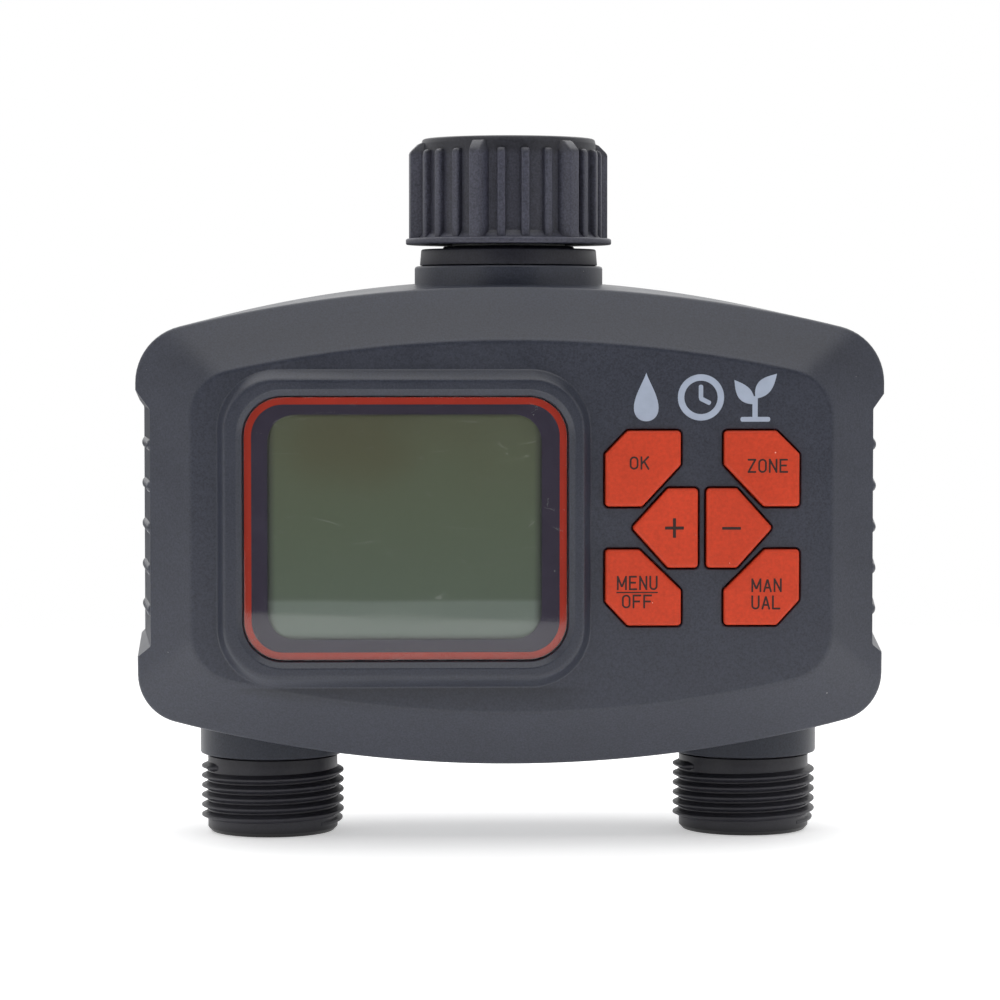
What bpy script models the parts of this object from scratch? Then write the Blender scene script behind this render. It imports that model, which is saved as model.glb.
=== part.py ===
"""Two-outlet drip irrigation timer.

Frame: +Z up, origin on the floor midway between the two outlets, Y = 0 is the plane
through the inlet and outlet axes, -Y is the display side. Dimensions are in millimetres
and become metres through MM.
"""
import math

import bmesh
import bpy
from mathutils import Matrix, Vector

MM = 0.001
GAP = 0.3                      # clearance kept between pieces that touch

# ---- housing ------------------------------------------------------------------------
# an outline is (half width, top of the upper arc, bottom of the lower arc, arc radius,
# corner radius); both arcs have their apex on X = 0
PARTING = (69.4, 102.45, 13.45, 215.0, 11.5)
EDGE = (67.2, 100.98, 14.94, 236.0, 10.5)
PLATEAU = (57.45, 91.5, 25.2, 238.0, 9.0)
FRONT_EDGE_Y = -23.5
FRONT_Y = -30.2
REAR_EDGE_Y = 24.5
REAR_Y = 31.2
WALL = 2.4
FRONT_WALL = 2.8
PARTING_GAP = 0.15

# ---- side grips ---------------------------------------------------------------------
GRIP_Z0, GRIP_Z1 = 36.1, 81.0
GRIP_CHAMFER = 2.1
GRIP_DEPTH = 1.8
GRIP_RIBS_Z = (72.1, 64.65, 57.2, 49.75, 42.3)

# ---- display ------------------------------------------------------------------------
DISPLAY_X, DISPLAY_Z = -19.05, 57.8
RIDGE_HALF = (33.0, 28.2)
RIDGE_R = 10.5
RIDGE_Y = -32.3
WINDOW_HALF = (28.65, 23.45)
WINDOW_R = 7.0
WINDOW_Y0, WINDOW_Y1 = -31.4, -30.1
LCD_HALF = (26.0, 21.6)
VIEW_HALF = (24.0, 19.8)

# ---- keys: outlines in X and Z --------------------------------------------------------
KEYS = {
    "button_ok": [(20.25, 75.2), (29.77, 75.2), (29.77, 69.15), (22.87, 61.7), (16.28, 61.7), (16.28, 71.1)],
    "button_zone": [(37.44, 75.2), (46.8, 75.2), (50.93, 71.1), (50.93, 61.7), (44.5, 61.7), (37.44, 69.15)],
    "button_plus": [(27.45, 64.95), (32.83, 64.95), (32.83, 50.78), (27.45, 50.78), (21.04, 57.9)],
    "button_minus": [(34.3, 64.95), (39.78, 64.95), (46.13, 57.9), (39.78, 50.78), (34.3, 50.78)],
    "button_menu": [(16.3, 54.05), (22.35, 54.05), (29.83, 46.8), (29.83, 40.47), (20.27, 40.47), (16.3, 44.72)],
    "button_manual": [(44.73, 54.05), (50.92, 54.05), (50.92, 45.0), (46.88, 40.53), (37.45, 40.53), (37.45, 46.8)],
}
KEY_FRONT_Y = -31.3
KEY_TRAVEL = 0.8

# ---- waterway -----------------------------------------------------------------------
OUTLET_X = 43.8
THREAD_PITCH = 1.814           # G3/4
THREAD_CREST = 13.22
THREAD_ROOT = 12.05
NIPPLE_BORE = 9.0
BOSS_R = 13.26
NECK_R = 17.42
NECK_Z = 104.8
SPIGOT_R, SPIGOT_BORE = 10.5, 7.5
CHAMBER_R, CHAMBER_BORE = 15.0, 12.6
CHAMBER_Z0, CHAMBER_Z1 = 42.0, 62.0
SPUD_R, SPUD_BORE = 9.5, 6.3
CROSS_Z, CROSS_R, CROSS_BORE = 52.0, 9.0, 6.0

# ---- inlet nut ----------------------------------------------------------------------
NUT_Z0, NUT_Z1 = 108.8, 128.3
NUT_ROOT_R, NUT_RIB_R, NUT_WIDE_R, NUT_FLANGE_R = 16.1, 17.25, 18.4, 19.05
NUT_BORE = 12.3                # across the inner thread's crests
NUT_PHASE = -19.5              # degrees from the front to the first wide rib

# ---- battery bay --------------------------------------------------------------------
BAY_X, BAY_Z0, BAY_Z1 = 29.5, 54.0, 87.5
BAY_Y0, BAY_Y1 = 12.2, 28.5
CELL_R, CELL_LEN, CELL_Y = 7.1, 50.4, 20.7
CELL_Z = (78.4, 63.2)
DOOR = (32.0, 43.0, 88.5)      # half width, bottom, top
DOOR_SCREW_Z = 48.0

SCREWS = [(57.5, 82.5, 4.0), (-57.5, 82.5, 4.0), (60.2, 31.2, 3.2), (-60.2, 31.2, 3.2),
          (20.0, 21.6, 3.2), (-20.0, 21.6, 3.2)]

# ---- scene set-up -------------------------------------------------------------------
for old in list(bpy.data.objects):
    bpy.data.objects.remove(old, do_unlink=True)

parts = bpy.data.collections.new("drip_irrigation_timer")
bpy.context.scene.collection.children.link(parts)
cutters = bpy.data.collections.new("cutters")
bpy.context.scene.collection.children.link(cutters)
cutters.hide_render = True

frame = bpy.data.objects.new("timer_frame", None)
parts.objects.link(frame)


def material(name, rgb, rough, metal=0.0, alpha=1.0):
    m = bpy.data.materials.new(name)
    m.use_nodes = True
    b = m.node_tree.nodes["Principled BSDF"]
    b.inputs["Base Color"].default_value = (*rgb, 1.0)
    b.inputs["Roughness"].default_value = rough
    b.inputs["Metallic"].default_value = metal
    b.inputs["Alpha"].default_value = alpha
    m.diffuse_color = (*rgb, alpha)
    return m


CHARCOAL = material("charcoal_shell", (0.062, 0.066, 0.076), 0.5)
BLACK = material("black_nylon", (0.022, 0.022, 0.025), 0.42)
ORANGE = material("orange_silicone", (0.62, 0.072, 0.022), 0.55)
LENS = material("clear_lens", (0.9, 0.92, 0.92), 0.08, alpha=0.35)
MASK = material("printed_mask", (0.05, 0.04, 0.055), 0.4)
LCD = material("lcd_glass", (0.10, 0.12, 0.085), 0.25)
WHITE = material("white_acetal", (0.72, 0.72, 0.70), 0.45)
GREEN = material("board_green", (0.02, 0.16, 0.06), 0.4)
RUBBER = material("black_rubber", (0.02, 0.02, 0.02), 0.75)
SILICONE = material("grey_silicone", (0.35, 0.35, 0.36), 0.6)
COPPER = material("copper_winding", (0.62, 0.27, 0.13), 0.35, 1.0)
STEEL = material("zinc_steel", (0.62, 0.62, 0.60), 0.3, 1.0)
CELL = material("cell_sleeve", (0.05, 0.09, 0.22), 0.35)
NICKEL = material("nickel_plate", (0.66, 0.64, 0.60), 0.25, 1.0)
FOAM = material("foam_tape", (0.03, 0.03, 0.03), 0.9)
WIRE = material("wire_sleeve", (0.45, 0.04, 0.03), 0.5)
MESH = material("strainer_mesh", (0.55, 0.56, 0.55), 0.4, 0.6)


# ---- modelling helpers --------------------------------------------------------------
def link(obj, group=parts):
    group.objects.link(obj)
    return obj


def from_bmesh(name, bm, at=(0, 0, 0), group=cutters):
    bmesh.ops.recalc_face_normals(bm, faces=bm.faces[:])
    me = bpy.data.meshes.new(name)
    bm.to_mesh(me)
    bm.free()
    obj = bpy.data.objects.new(name, me)
    obj.location = [c * MM for c in at]
    link(obj, group)
    if group is cutters:
        obj.display_type = "WIRE"
        obj.hide_render = True
    return obj


def evaluated(obj):
    """A plain mesh of the object with its modifiers applied."""
    bpy.context.view_layer.update()
    deps = bpy.context.evaluated_depsgraph_get()
    return bpy.data.meshes.new_from_object(obj.evaluated_get(deps), depsgraph=deps)


def bake(obj):
    me = evaluated(obj)
    old = obj.data
    obj.modifiers.clear()
    obj.data = me
    bpy.data.meshes.remove(old)
    return obj


def tidy(obj):
    """Merge the points that a Boolean leaves a hair apart."""
    bm = bmesh.new()
    bm.from_mesh(obj.data)
    bmesh.ops.remove_doubles(bm, verts=bm.verts[:], dist=0.000002)
    bmesh.ops.dissolve_degenerate(bm, dist=0.000001, edges=bm.edges[:])
    bm.to_mesh(obj.data)
    bm.free()


def combine(obj, other, how="DIFFERENCE"):
    """Boolean another solid into this one and drop the other."""
    m = obj.modifiers.new("combine", "BOOLEAN")
    m.operation = how
    m.solver = "EXACT"
    m.object = other
    bake(obj)
    tidy(obj)
    data = other.data
    bpy.data.objects.remove(other, do_unlink=True)
    if data.users == 0:
        bpy.data.meshes.remove(data)
    return obj


AXES = {"Z": Matrix.Identity(4), "Y": Matrix.Rotation(math.radians(-90), 4, "X"),
        "X": Matrix.Rotation(math.radians(90), 4, "Y")}


def rod(name, r, lo, hi, at=(0, 0, 0), axis="Z", segs=24, r2=None, turn=0.0):
    """A cylinder or cone from lo to hi along an axis through at."""
    bm = bmesh.new()
    bmesh.ops.create_cone(bm, cap_ends=True, segments=segs, radius1=r * MM,
                          radius2=(r if r2 is None else r2) * MM, depth=(hi - lo) * MM)
    move = AXES[axis] @ Matrix.Translation((0, 0, (hi + lo) / 2 * MM)) @ Matrix.Rotation(math.radians(turn), 4, "Z")
    bmesh.ops.transform(bm, matrix=move, verts=bm.verts[:])
    return from_bmesh(name, bm, at)


def block(name, lo, hi, at=(0, 0, 0)):
    bm = bmesh.new()
    bmesh.ops.create_cube(bm, size=1.0)
    size = [(h - l) * MM for l, h in zip(lo, hi)]
    mid = [(h + l) / 2 * MM for l, h in zip(lo, hi)]
    bmesh.ops.transform(bm, matrix=Matrix.Translation(mid) @ Matrix.Diagonal((*size, 1)), verts=bm.verts[:])
    return from_bmesh(name, bm, at)


def turned(name, profile, at=(0, 0, 0), segs=24, turn=0.0):
    """A solid of revolution about Z from (radius, z) points that run from the top of
    the inner side, over the outer side from top to bottom, and close on themselves
    unless both ends lie on the axis."""
    me = bpy.data.meshes.new(name)
    pts = [(r * MM, 0.0, z * MM) for r, z in profile]
    edges = [(i, i + 1) for i in range(len(pts) - 1)]
    if profile[0][0] > 0.0001:
        edges.append((len(pts) - 1, 0))
    me.from_pydata(pts, edges, [])
    obj = bpy.data.objects.new(name, me)
    link(obj, cutters)
    s = obj.modifiers.new("turn", "SCREW")
    s.axis = "Z"
    s.steps = s.render_steps = segs
    s.use_merge_vertices = True
    s.merge_threshold = 0.00001
    bake(obj)
    bm = bmesh.new()
    bm.from_mesh(obj.data)
    bmesh.ops.remove_doubles(bm, verts=bm.verts[:], dist=0.000002)
    if turn:
        bmesh.ops.rotate(bm, verts=bm.verts[:], matrix=Matrix.Rotation(math.radians(turn), 3, "Z"))
    bmesh.ops.recalc_face_normals(bm, faces=bm.faces[:])
    bm.to_mesh(obj.data)
    bm.free()
    obj.location = [c * MM for c in at]
    obj.display_type = "WIRE"
    obj.hide_render = True
    return obj


def prism(name, outline, y0, y1, at=(0, 0, 0)):
    """An X-Z outline (counter-clockwise seen from the front) pushed along Y."""
    bm = bmesh.new()
    vs = [bm.verts.new((x * MM, y0 * MM, z * MM)) for x, z in outline]
    face = bm.faces.new(vs)
    out = bmesh.ops.extrude_face_region(bm, geom=[face])
    bmesh.ops.translate(bm, verts=[v for v in out["geom"] if isinstance(v, bmesh.types.BMVert)],
                        vec=(0, (y1 - y0) * MM, 0))
    return from_bmesh(name, bm, at)


def rounded(points, r, n=3):
    """The outline with each corner rounded by radius r."""
    out = []
    count = len(points)
    for i in range(count):
        a, b, c = Vector(points[i - 1]), Vector(points[i]), Vector(points[(i + 1) % count])
        u, v = (a - b).normalized(), (c - b).normalized()
        half = u.angle(v) / 2
        rr = min(r, 0.45 * min((a - b).length, (c - b).length) * math.tan(half))
        d = rr / math.tan(half)
        mid = b + (u + v).normalized() * (rr / math.sin(half))
        p, q = b + u * d - mid, b + v * d - mid
        turn = p.angle_signed(q)
        for k in range(n + 1):
            out.append(tuple(mid + Matrix.Rotation(-turn * k / n, 2) @ p))
    return out


def rectangle(x, z, hw, hh, r, n=4):
    return rounded([(x - hw, z - hh), (x + hw, z - hh), (x + hw, z + hh), (x - hw, z + hh)], r, n)


def grown(points, d):
    """A convex outline moved outward by d."""
    out = []
    count = len(points)
    cx = sum(p[0] for p in points) / count
    cz = sum(p[1] for p in points) / count
    for i in range(count):
        a, b, c = (Vector(points[j % count]) for j in (i - 1, i, i + 1))
        n1 = Vector(((b - a).y, -(b - a).x)).normalized()
        n2 = Vector(((c - b).y, -(c - b).x)).normalized()
        if n1.dot(b - Vector((cx, cz))) < 0:
            n1, n2 = -n1, -n2
        m = (n1 + n2).normalized()
        out.append(tuple(b + m * (d / max(0.3, m.dot(n1)))))
    return out


def tube(name, pts, r, res=2):
    """A round tube along smooth points, as a closed mesh."""
    cu = bpy.data.curves.new(name, "CURVE")
    cu.dimensions = "3D"
    cu.resolution_u = 1
    cu.render_resolution_u = 0
    cu.bevel_depth = r * MM
    cu.bevel_resolution = res
    cu.use_fill_caps = True
    sp = cu.splines.new("POLY")
    sp.points.add(len(pts) - 1)
    for p, c in zip(sp.points, pts):
        p.co = (c[0] * MM, c[1] * MM, c[2] * MM, 1)
    obj = bpy.data.objects.new(name + "_path", cu)
    link(obj, cutters)
    me = evaluated(obj)
    bpy.data.objects.remove(obj, do_unlink=True)
    bpy.data.curves.remove(cu)
    bm = bmesh.new()
    bm.from_mesh(me)
    bpy.data.meshes.remove(me)
    bmesh.ops.remove_doubles(bm, verts=bm.verts[:], dist=0.000005)
    return from_bmesh(name, bm)


def smooth_route(knots, steps=4):
    """Catmull-Rom points through the knots."""
    ks = [Vector(k) for k in knots]
    ks = [ks[0] * 2 - ks[1]] + ks + [ks[-1] * 2 - ks[-2]]
    out = []
    for i in range(1, len(ks) - 2):
        a, b, c, d = ks[i - 1:i + 3]
        for k in range(steps):
            t = k / steps
            out.append(0.5 * ((2 * b) + (c - a) * t + (2 * a - 5 * b + 4 * c - d) * t * t
                              + (3 * b - a - 3 * c + d) * t ** 3))
    out.append(ks[-2])
    return [tuple(p) for p in out]


def thread(name, z0, turns, root, crest, per_turn=24, start=0.0, at=(0, 0, 0), inner=False):
    """A right-hand helical ridge of tapered Whitworth-like section, rising from z0. An
    outer thread's base is sunk into the core at root; an inner one's into the wall."""
    bm = bmesh.new()
    n = int(round(turns * per_turn))
    rings = []
    sink = 0.35 if not inner else -0.35
    for i in range(n + 1):
        ang = math.radians(start) + 2 * math.pi * i / per_turn
        z = z0 + THREAD_PITCH * i / per_turn
        fade = min(1.0, 0.12 + min(i, n - i) / (per_turn * 0.22))
        tip = root + (crest - root) * fade
        base, top = 0.74 * (0.45 + 0.55 * fade), 0.17
        section = [(root - sink, z - base), (tip, z - top), (tip, z + top), (root - sink, z + base)]
        rings.append([bm.verts.new((r * MM * math.cos(ang), r * MM * math.sin(ang), h * MM)) for r, h in section])
    for a, b in zip(rings, rings[1:]):
        for k in range(4):
            bm.faces.new((a[k], a[(k + 1) % 4], b[(k + 1) % 4], b[k]))
    bm.faces.new(rings[0])
    bm.faces.new(list(reversed(rings[-1])))
    return from_bmesh(name, bm, at)


def outline(shape, inset=0.0, arc=10, corner=4):
    """The pillow outline as X-Z points, counter-clockwise seen from the front."""
    hx, top, bottom, r, rc = shape
    hx, top, bottom, r = hx - inset, top - inset, bottom + inset, r - inset
    rc = max(rc - inset, 1.5)
    cx = hx - rc
    rise = math.sqrt((r - rc) ** 2 - cx ** 2)
    lean = math.asin(cx / (r - rc))
    pts = []

    def sweep(x, z, rad, a0, a1, n, skip_first=False):
        for i in range(1 if skip_first else 0, n + 1):
            a = a0 + (a1 - a0) * i / n
            pts.append((x + rad * math.sin(a), z + rad * math.cos(a)))

    ctop, cbot = top - r, bottom + r
    sweep(cx, ctop + rise, rc, math.pi / 2, lean, corner)
    sweep(0, ctop, r, lean, -lean, arc, True)
    sweep(-cx, ctop + rise, rc, -lean, -math.pi / 2, corner, True)
    sweep(-cx, cbot - rise, rc, -math.pi / 2, -math.pi + lean, corner)
    sweep(0, cbot, r, -math.pi + lean, -math.pi - lean, arc, True)
    sweep(cx, cbot - rise, rc, -math.pi - lean, -3 * math.pi / 2, corner, True)
    return pts


def mixed(a, b, t):
    return tuple(p + (q - p) * t for p, q in zip(a, b))


def loft(bm, sections):
    """Side faces through (outline points, y) sections; returns the vertex loops."""
    loops = [[bm.verts.new((x * MM, y * MM, z * MM)) for x, z in pts] for pts, y in sections]
    for a, b in zip(loops, loops[1:]):
        n = len(a)
        for i in range(n):
            bm.faces.new((a[i], a[(i + 1) % n], b[(i + 1) % n], b[i]))
    return loops


def shell(name, rim_y, edge_y, face_y, wall, steps=3):
    """Half of the pillow housing: drafted side, convex band, flat plateau, hollow."""
    sign = -1 if face_y < 0 else 1
    bm = bmesh.new()
    outer = [(outline(mixed(PARTING, EDGE, rim_y / edge_y)), rim_y), (outline(EDGE), edge_y)]
    for k in range(1, steps + 1):
        s = k / steps
        g = 0.62 * s + 0.38 * (1 - (1 - s) ** 2)
        outer.append((outline(mixed(EDGE, PLATEAU, s)), edge_y + (face_y - edge_y) * g))
    inner = [(outline(PARTING, WALL), rim_y),
             (outline(EDGE, WALL + 0.2), edge_y - sign * 1.4),
             (outline(PLATEAU, 0.8), face_y - sign * wall)]
    lo = loft(bm, outer)
    li = loft(bm, inner)
    bm.faces.new(lo[-1])
    bm.faces.new(li[-1])
    n = len(lo[0])
    for i in range(n):
        bm.faces.new((lo[0][i], lo[0][(i + 1) % n], li[0][(i + 1) % n], li[0][i]))
    return from_bmesh(name, bm)


def finish(obj, name, mat, at=None, smooth=35.0):
    """Name the solid, give it its material, and put its origin at a point."""
    obj.name = name
    obj.data.name = name
    obj.data.materials.clear()
    obj.data.materials.append(mat)
    obj.hide_render = False
    obj.display_type = "TEXTURED"
    cutters.objects.unlink(obj)
    parts.objects.link(obj)
    if at is not None:
        goal = Vector([c * MM for c in at])
        obj.data.transform(Matrix.Translation(obj.location - goal))
        obj.location = goal
    obj.data.shade_smooth()
    obj.data.set_sharp_from_angle(angle=math.radians(smooth))
    obj.parent = frame
    return obj


def boss(x, z, r, y0, y1, segs=12):
    return rod("boss", r, y0, y1, at=(x, 0, z), axis="Y", segs=segs)


def half_rod(r, z0, z1, x, side, segs=28):
    """Half of an upright cylinder, on the front (side -1) or rear (+1) of the parting."""
    c = rod("half", r, z0, z1, at=(x, 0, 0), segs=segs, turn=180.0 / segs)
    keep = (-40, PARTING_GAP) if side < 0 else (-PARTING_GAP, 40)
    return combine(c, block("away", (x - 30, -keep[1] if side < 0 else keep[0] - 40, z0 - 5),
                            (x + 30, 40 if side < 0 else -keep[0], z1 + 5)))


def grip_cut(side, y0, y1):
    """The shallow recess in one flank, following the draft."""
    bm = bmesh.new()
    far = 76.0
    rings = []
    for y in (y0, y1):
        t = abs(y) / abs(FRONT_EDGE_Y)
        floor = (PARTING[0] + (EDGE[0] - PARTING[0]) * t - GRIP_DEPTH)
        out = floor + GRIP_DEPTH
        run = GRIP_CHAMFER / GRIP_DEPTH * (far - floor)
        rings.append([bm.verts.new((side * x * MM, y * MM, z * MM)) for x, z in (
            (floor, GRIP_Z0 + GRIP_CHAMFER), (far, GRIP_Z0 + GRIP_CHAMFER - run),
            (far, GRIP_Z1 - GRIP_CHAMFER + run), (floor, GRIP_Z1 - GRIP_CHAMFER))])
    a, b = rings
    for k in range(4):
        bm.faces.new((a[k], a[(k + 1) % 4], b[(k + 1) % 4], b[k]))
    bm.faces.new(a)
    bm.faces.new(list(reversed(b)))
    return from_bmesh("grip_cut", bm)


def grip_rib(side, z, y0, y1):
    """One rounded bar on the floor of the grip recess, following the draft."""
    bm = bmesh.new()
    rings = []
    for y in (y0, y1):
        t = abs(y) / abs(FRONT_EDGE_Y)
        floor = PARTING[0] + (EDGE[0] - PARTING[0]) * t - GRIP_DEPTH
        ring = []
        for k in range(4):
            a = math.radians(-90 + 60 * k)
            ring.append((floor - 0.35 + 1.05 * math.cos(a), z + 1.05 * math.sin(a)))
        ring += [(floor - 1.2, z + 1.05), (floor - 1.2, z - 1.05)]
        rings.append([bm.verts.new((side * x * MM, y * MM, h * MM)) for x, h in ring])
    a, b = rings
    n = len(a)
    for k in range(n):
        bm.faces.new((a[k], a[(k + 1) % n], b[(k + 1) % n], b[k]))
    bm.faces.new(a)
    bm.faces.new(list(reversed(b)))
    return from_bmesh("grip_rib", bm)


# ---- housing shells -----------------------------------------------------------------
def housing_side(side, body):
    """Neck and outlet collars, screw bosses and grips shared by both shells."""
    edge = FRONT_EDGE_Y if side < 0 else REAR_EDGE_Y
    combine(body, half_rod(NECK_R, 95.0, NECK_Z, 0, side, 28), "UNION")
    for x in (OUTLET_X, -OUTLET_X):
        combine(body, half_rod(BOSS_R, 14.5, 24.6, x, side, 24), "UNION")
        combine(body, rod("bore", THREAD_ROOT + 0.4, 10, 30, at=(x, 0, 0), segs=20))
    combine(body, rod("bore", SPIGOT_R + 0.4, 90, 110, segs=20))
    for flank in (1, -1):
        combine(body, grip_cut(flank, -side * 2.0, side * 40.0))
        for z in GRIP_RIBS_Z:
            combine(body, grip_rib(flank, z, side * 2.2, side * 21.5), "UNION")
    return body


front = shell("front", -PARTING_GAP, FRONT_EDGE_Y, FRONT_Y, FRONT_WALL)
housing_side(-1, front)

# raised frame round the display: sloped outside, flat top
bm = bmesh.new()
ridge = []
for grow, y in ((0.0, FRONT_Y + 0.9), (0.0, FRONT_Y), (-1.3, RIDGE_Y)):
    ridge.append((rectangle(DISPLAY_X, DISPLAY_Z, RIDGE_HALF[0] + grow, RIDGE_HALF[1] + grow, RIDGE_R + grow, 4), y))
lr = loft(bm, ridge)
bm.faces.new(lr[0])
bm.faces.new(lr[-1])
combine(front, from_bmesh("ridge", bm), "UNION")
bm = bmesh.new()
well = []
for grow, y in ((1.2, RIDGE_Y - 0.4), (1.2 - 0.15, RIDGE_Y), (0.27, WINDOW_Y0 - 0.1), (0.27, WINDOW_Y1 + 0.75)):
    well.append((rectangle(DISPLAY_X, DISPLAY_Z, WINDOW_HALF[0] + grow, WINDOW_HALF[1] + grow, WINDOW_R + grow, 4), y))
lw = loft(bm, well)
bm.faces.new(lw[0])
bm.faces.new(lw[-1])
combine(front, from_bmesh("well", bm))
combine(front, prism("lcd_opening", rectangle(DISPLAY_X, DISPLAY_Z, LCD_HALF[0] + 0.3, LCD_HALF[1] + 0.3, 1.5, 2), -31, -20))
for name, pts in KEYS.items():
    combine(front, prism("key_hole", rounded(grown(pts, 0.22), 0.8, 1), -34, -20))
for x, z, r in SCREWS:
    deep = -25.0 if z > 60 else -24.5
    combine(front, boss(x, z, r - 0.3, deep, -0.3), "UNION")
for x, z, r in SCREWS:
    combine(front, boss(x, z, 1.8, -14.0, 1.0, 8))
finish(front, "front_housing", CHARCOAL)

rear = shell("rear", PARTING_GAP, REAR_EDGE_Y, REAR_Y, WALL)
housing_side(1, rear)
for x, z, r in SCREWS:
    combine(rear, boss(x, z, r, 0.3, 26.0 if z > 60 else 25.5), "UNION")
for x, z, r in SCREWS:
    combine(rear, boss(x, z, 1.8, -1.0, 40.0, 8))
    combine(rear, boss(x, z, 3.0, 14.0, 40.0, 10))
hw, z0, z1 = DOOR
combine(rear, rod("door_screw_boss", 5.0, 19.0, 29.6, at=(0, 0, DOOR_SCREW_Z), axis="Y", segs=16), "UNION")
combine(rear, prism("door_pocket", rounded([(-hw - 0.3, z0 - 0.3), (hw + 0.3, z0 - 0.3), (hw + 0.3, z1 + 0.3), (-hw - 0.3, z1 + 0.3)], 4.3, 3), 30.1, 36))
combine(rear, prism("bay_opening", rounded([(-BAY_X + 1.0, BAY_Z0 + 1.0), (BAY_X - 1.0, BAY_Z0 + 1.0), (BAY_X - 1.0, BAY_Z1 - 1.0), (-BAY_X + 1.0, BAY_Z1 - 1.0)], 2.0, 2), 24, 36))
combine(rear, rod("door_screw_bore", 2.3, 20.8, 36, at=(0, 0, DOOR_SCREW_Z), axis="Y", segs=14))
finish(rear, "rear_housing", CHARCOAL)

# ---- display stack ------------------------------------------------------------------
win = prism("w", rectangle(DISPLAY_X, DISPLAY_Z, *WINDOW_HALF, WINDOW_R, 5), WINDOW_Y0, WINDOW_Y1)
finish(win, "display_window", LENS)
mask = prism("m", rectangle(DISPLAY_X, DISPLAY_Z, WINDOW_HALF[0] - 0.1, WINDOW_HALF[1] - 0.1, WINDOW_R, 5), -29.85, -29.65)
combine(mask, prism("c", rectangle(DISPLAY_X, DISPLAY_Z, *VIEW_HALF, 3.5, 4), -31, -29))
finish(mask, "display_mask", MASK)
lcd = prism("l", rectangle(DISPLAY_X, DISPLAY_Z, *LCD_HALF, 1.2, 2), -29.35, -27.2)
finish(lcd, "lcd_panel", LCD)
gasket = prism("g", rectangle(DISPLAY_X, DISPLAY_Z, 30.5, 26.0, 3.0, 2), -27.1, -26.1)
combine(gasket, prism("c", rectangle(DISPLAY_X, DISPLAY_Z, LCD_HALF[0] + 0.9, LCD_HALF[1] + 0.9, 1.5, 2), -28, -25))
finish(gasket, "display_gasket", FOAM)
tray = prism("t", rectangle(DISPLAY_X, DISPLAY_Z, 30.5, 26.0, 3.0, 2), -25.8, -24.6)
combine(tray, prism("lip", rectangle(DISPLAY_X, DISPLAY_Z, LCD_HALF[0] + 0.5, LCD_HALF[1] + 0.5, 1.0, 2), -26.9, -25.0), "UNION")
combine(tray, prism("c", rectangle(DISPLAY_X, DISPLAY_Z, LCD_HALF[0] - 3.0, LCD_HALF[1] - 5.2, 1.0, 2), -28, -23))
combine(tray, prism("c", rectangle(DISPLAY_X, 38.2, 22.4, 1.3, 0.4, 1), -28, -23))
finish(tray, "lcd_frame", WHITE)
zebra = block("z", (DISPLAY_X - 22, -26.9, 37.2), (DISPLAY_X + 22, -24.6, 39.2))
finish(zebra, "zebra_strip", SILICONE)

# ---- board and keys -----------------------------------------------------------------
board = prism("b", rounded([(-51, 31), (52.5, 31), (52.5, 85), (-51, 85)], 3.0, 2), -24.3, -22.7)
for bx, bz, hx, hz, t in ((30, 58, 7, 7, 1.4), (-20, 70, 4, 2.4, 2.2), (-40, 46, 3, 1.4, 1.2), (10, 42, 3.0, 1.5, 1.2)):
    combine(board, block("chip", (bx - hx, -22.9, bz - hz), (bx + hx, -22.7 + t, bz + hz)), "UNION")
finish(board, "control_board", GREEN)
mat = prism("k", rounded([(13.6, 36.0), (52.4, 36.0), (52.4, 79.5), (13.6, 79.5)], 2.0, 2), -25.2, -24.6)
for name, pts in KEYS.items():
    cx = sum(p[0] for p in pts) / len(pts)
    cz = sum(p[1] for p in pts) / len(pts)
    combine(mat, rod("dome", 3.4, -25.75, -25.0, at=(cx, 0, cz), axis="Y", segs=8, r2=4.4), "UNION")
finish(mat, "keypad_mat", SILICONE)
for name, pts in KEYS.items():
    cx = sum(p[0] for p in pts) / len(pts)
    cz = sum(p[1] for p in pts) / len(pts)
    key = prism(name, rounded(pts, 0.6, 1), KEY_FRONT_Y, -26.85)
    combine(key, prism("flange", grown(pts, 0.4), -27.1, -26.6), "UNION")
    finish(key, name, ORANGE, at=(cx, KEY_FRONT_Y, cz))

# ---- waterway -----------------------------------------------------------------------
man = turned("spigot", [(0, 114.0), (11.9, 114.0), (11.9, 112.3), (SPIGOT_R, 112.0), (SPIGOT_R, 47.0), (0, 47.0)], segs=16)
combine(man, rod("cross", CROSS_R, -OUTLET_X + 6, OUTLET_X - 6, at=(0, 0, CROSS_Z), axis="X", segs=16, turn=9), "UNION")
for x in (OUTLET_X, -OUTLET_X):
    combine(man, rod("chamber", CHAMBER_R, CHAMBER_Z0, CHAMBER_Z1, at=(x, 0, 0), segs=18), "UNION")
    combine(man, rod("spud", SPUD_R, 26.0, CHAMBER_Z0 + 2, at=(x, 0, 0), segs=16), "UNION")
combine(man, rod("inlet_bore", SPIGOT_BORE, 50.0, 120.0, segs=16))
combine(man, rod("cross_bore", CROSS_BORE, -OUTLET_X + 11, OUTLET_X - 11, at=(0, 0, CROSS_Z), axis="X", segs=12, turn=11))
for x in (OUTLET_X, -OUTLET_X):
    ring = turned("annulus", [(SPUD_R - 0.6, 70.0), (CHAMBER_BORE, 70.0), (CHAMBER_BORE, 46.0), (SPUD_R - 0.6, 46.0)], at=(x, 0, 0), segs=16)
    combine(man, ring)
    combine(man, rod("seat", 9.5, 61.0, 70.0, at=(x, 0, 0), segs=16))
    combine(man, rod("outlet_bore", SPUD_BORE, 20.0, 70.0, at=(x, 0, 0), segs=14))
    groove = turned("groove", [(8.0, 30.2), (12.0, 30.2), (12.0, 28.0), (8.0, 28.0)], at=(x, 0, 0), segs=16)
    combine(man, groove)
finish(man, "manifold", WHITE)

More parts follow.
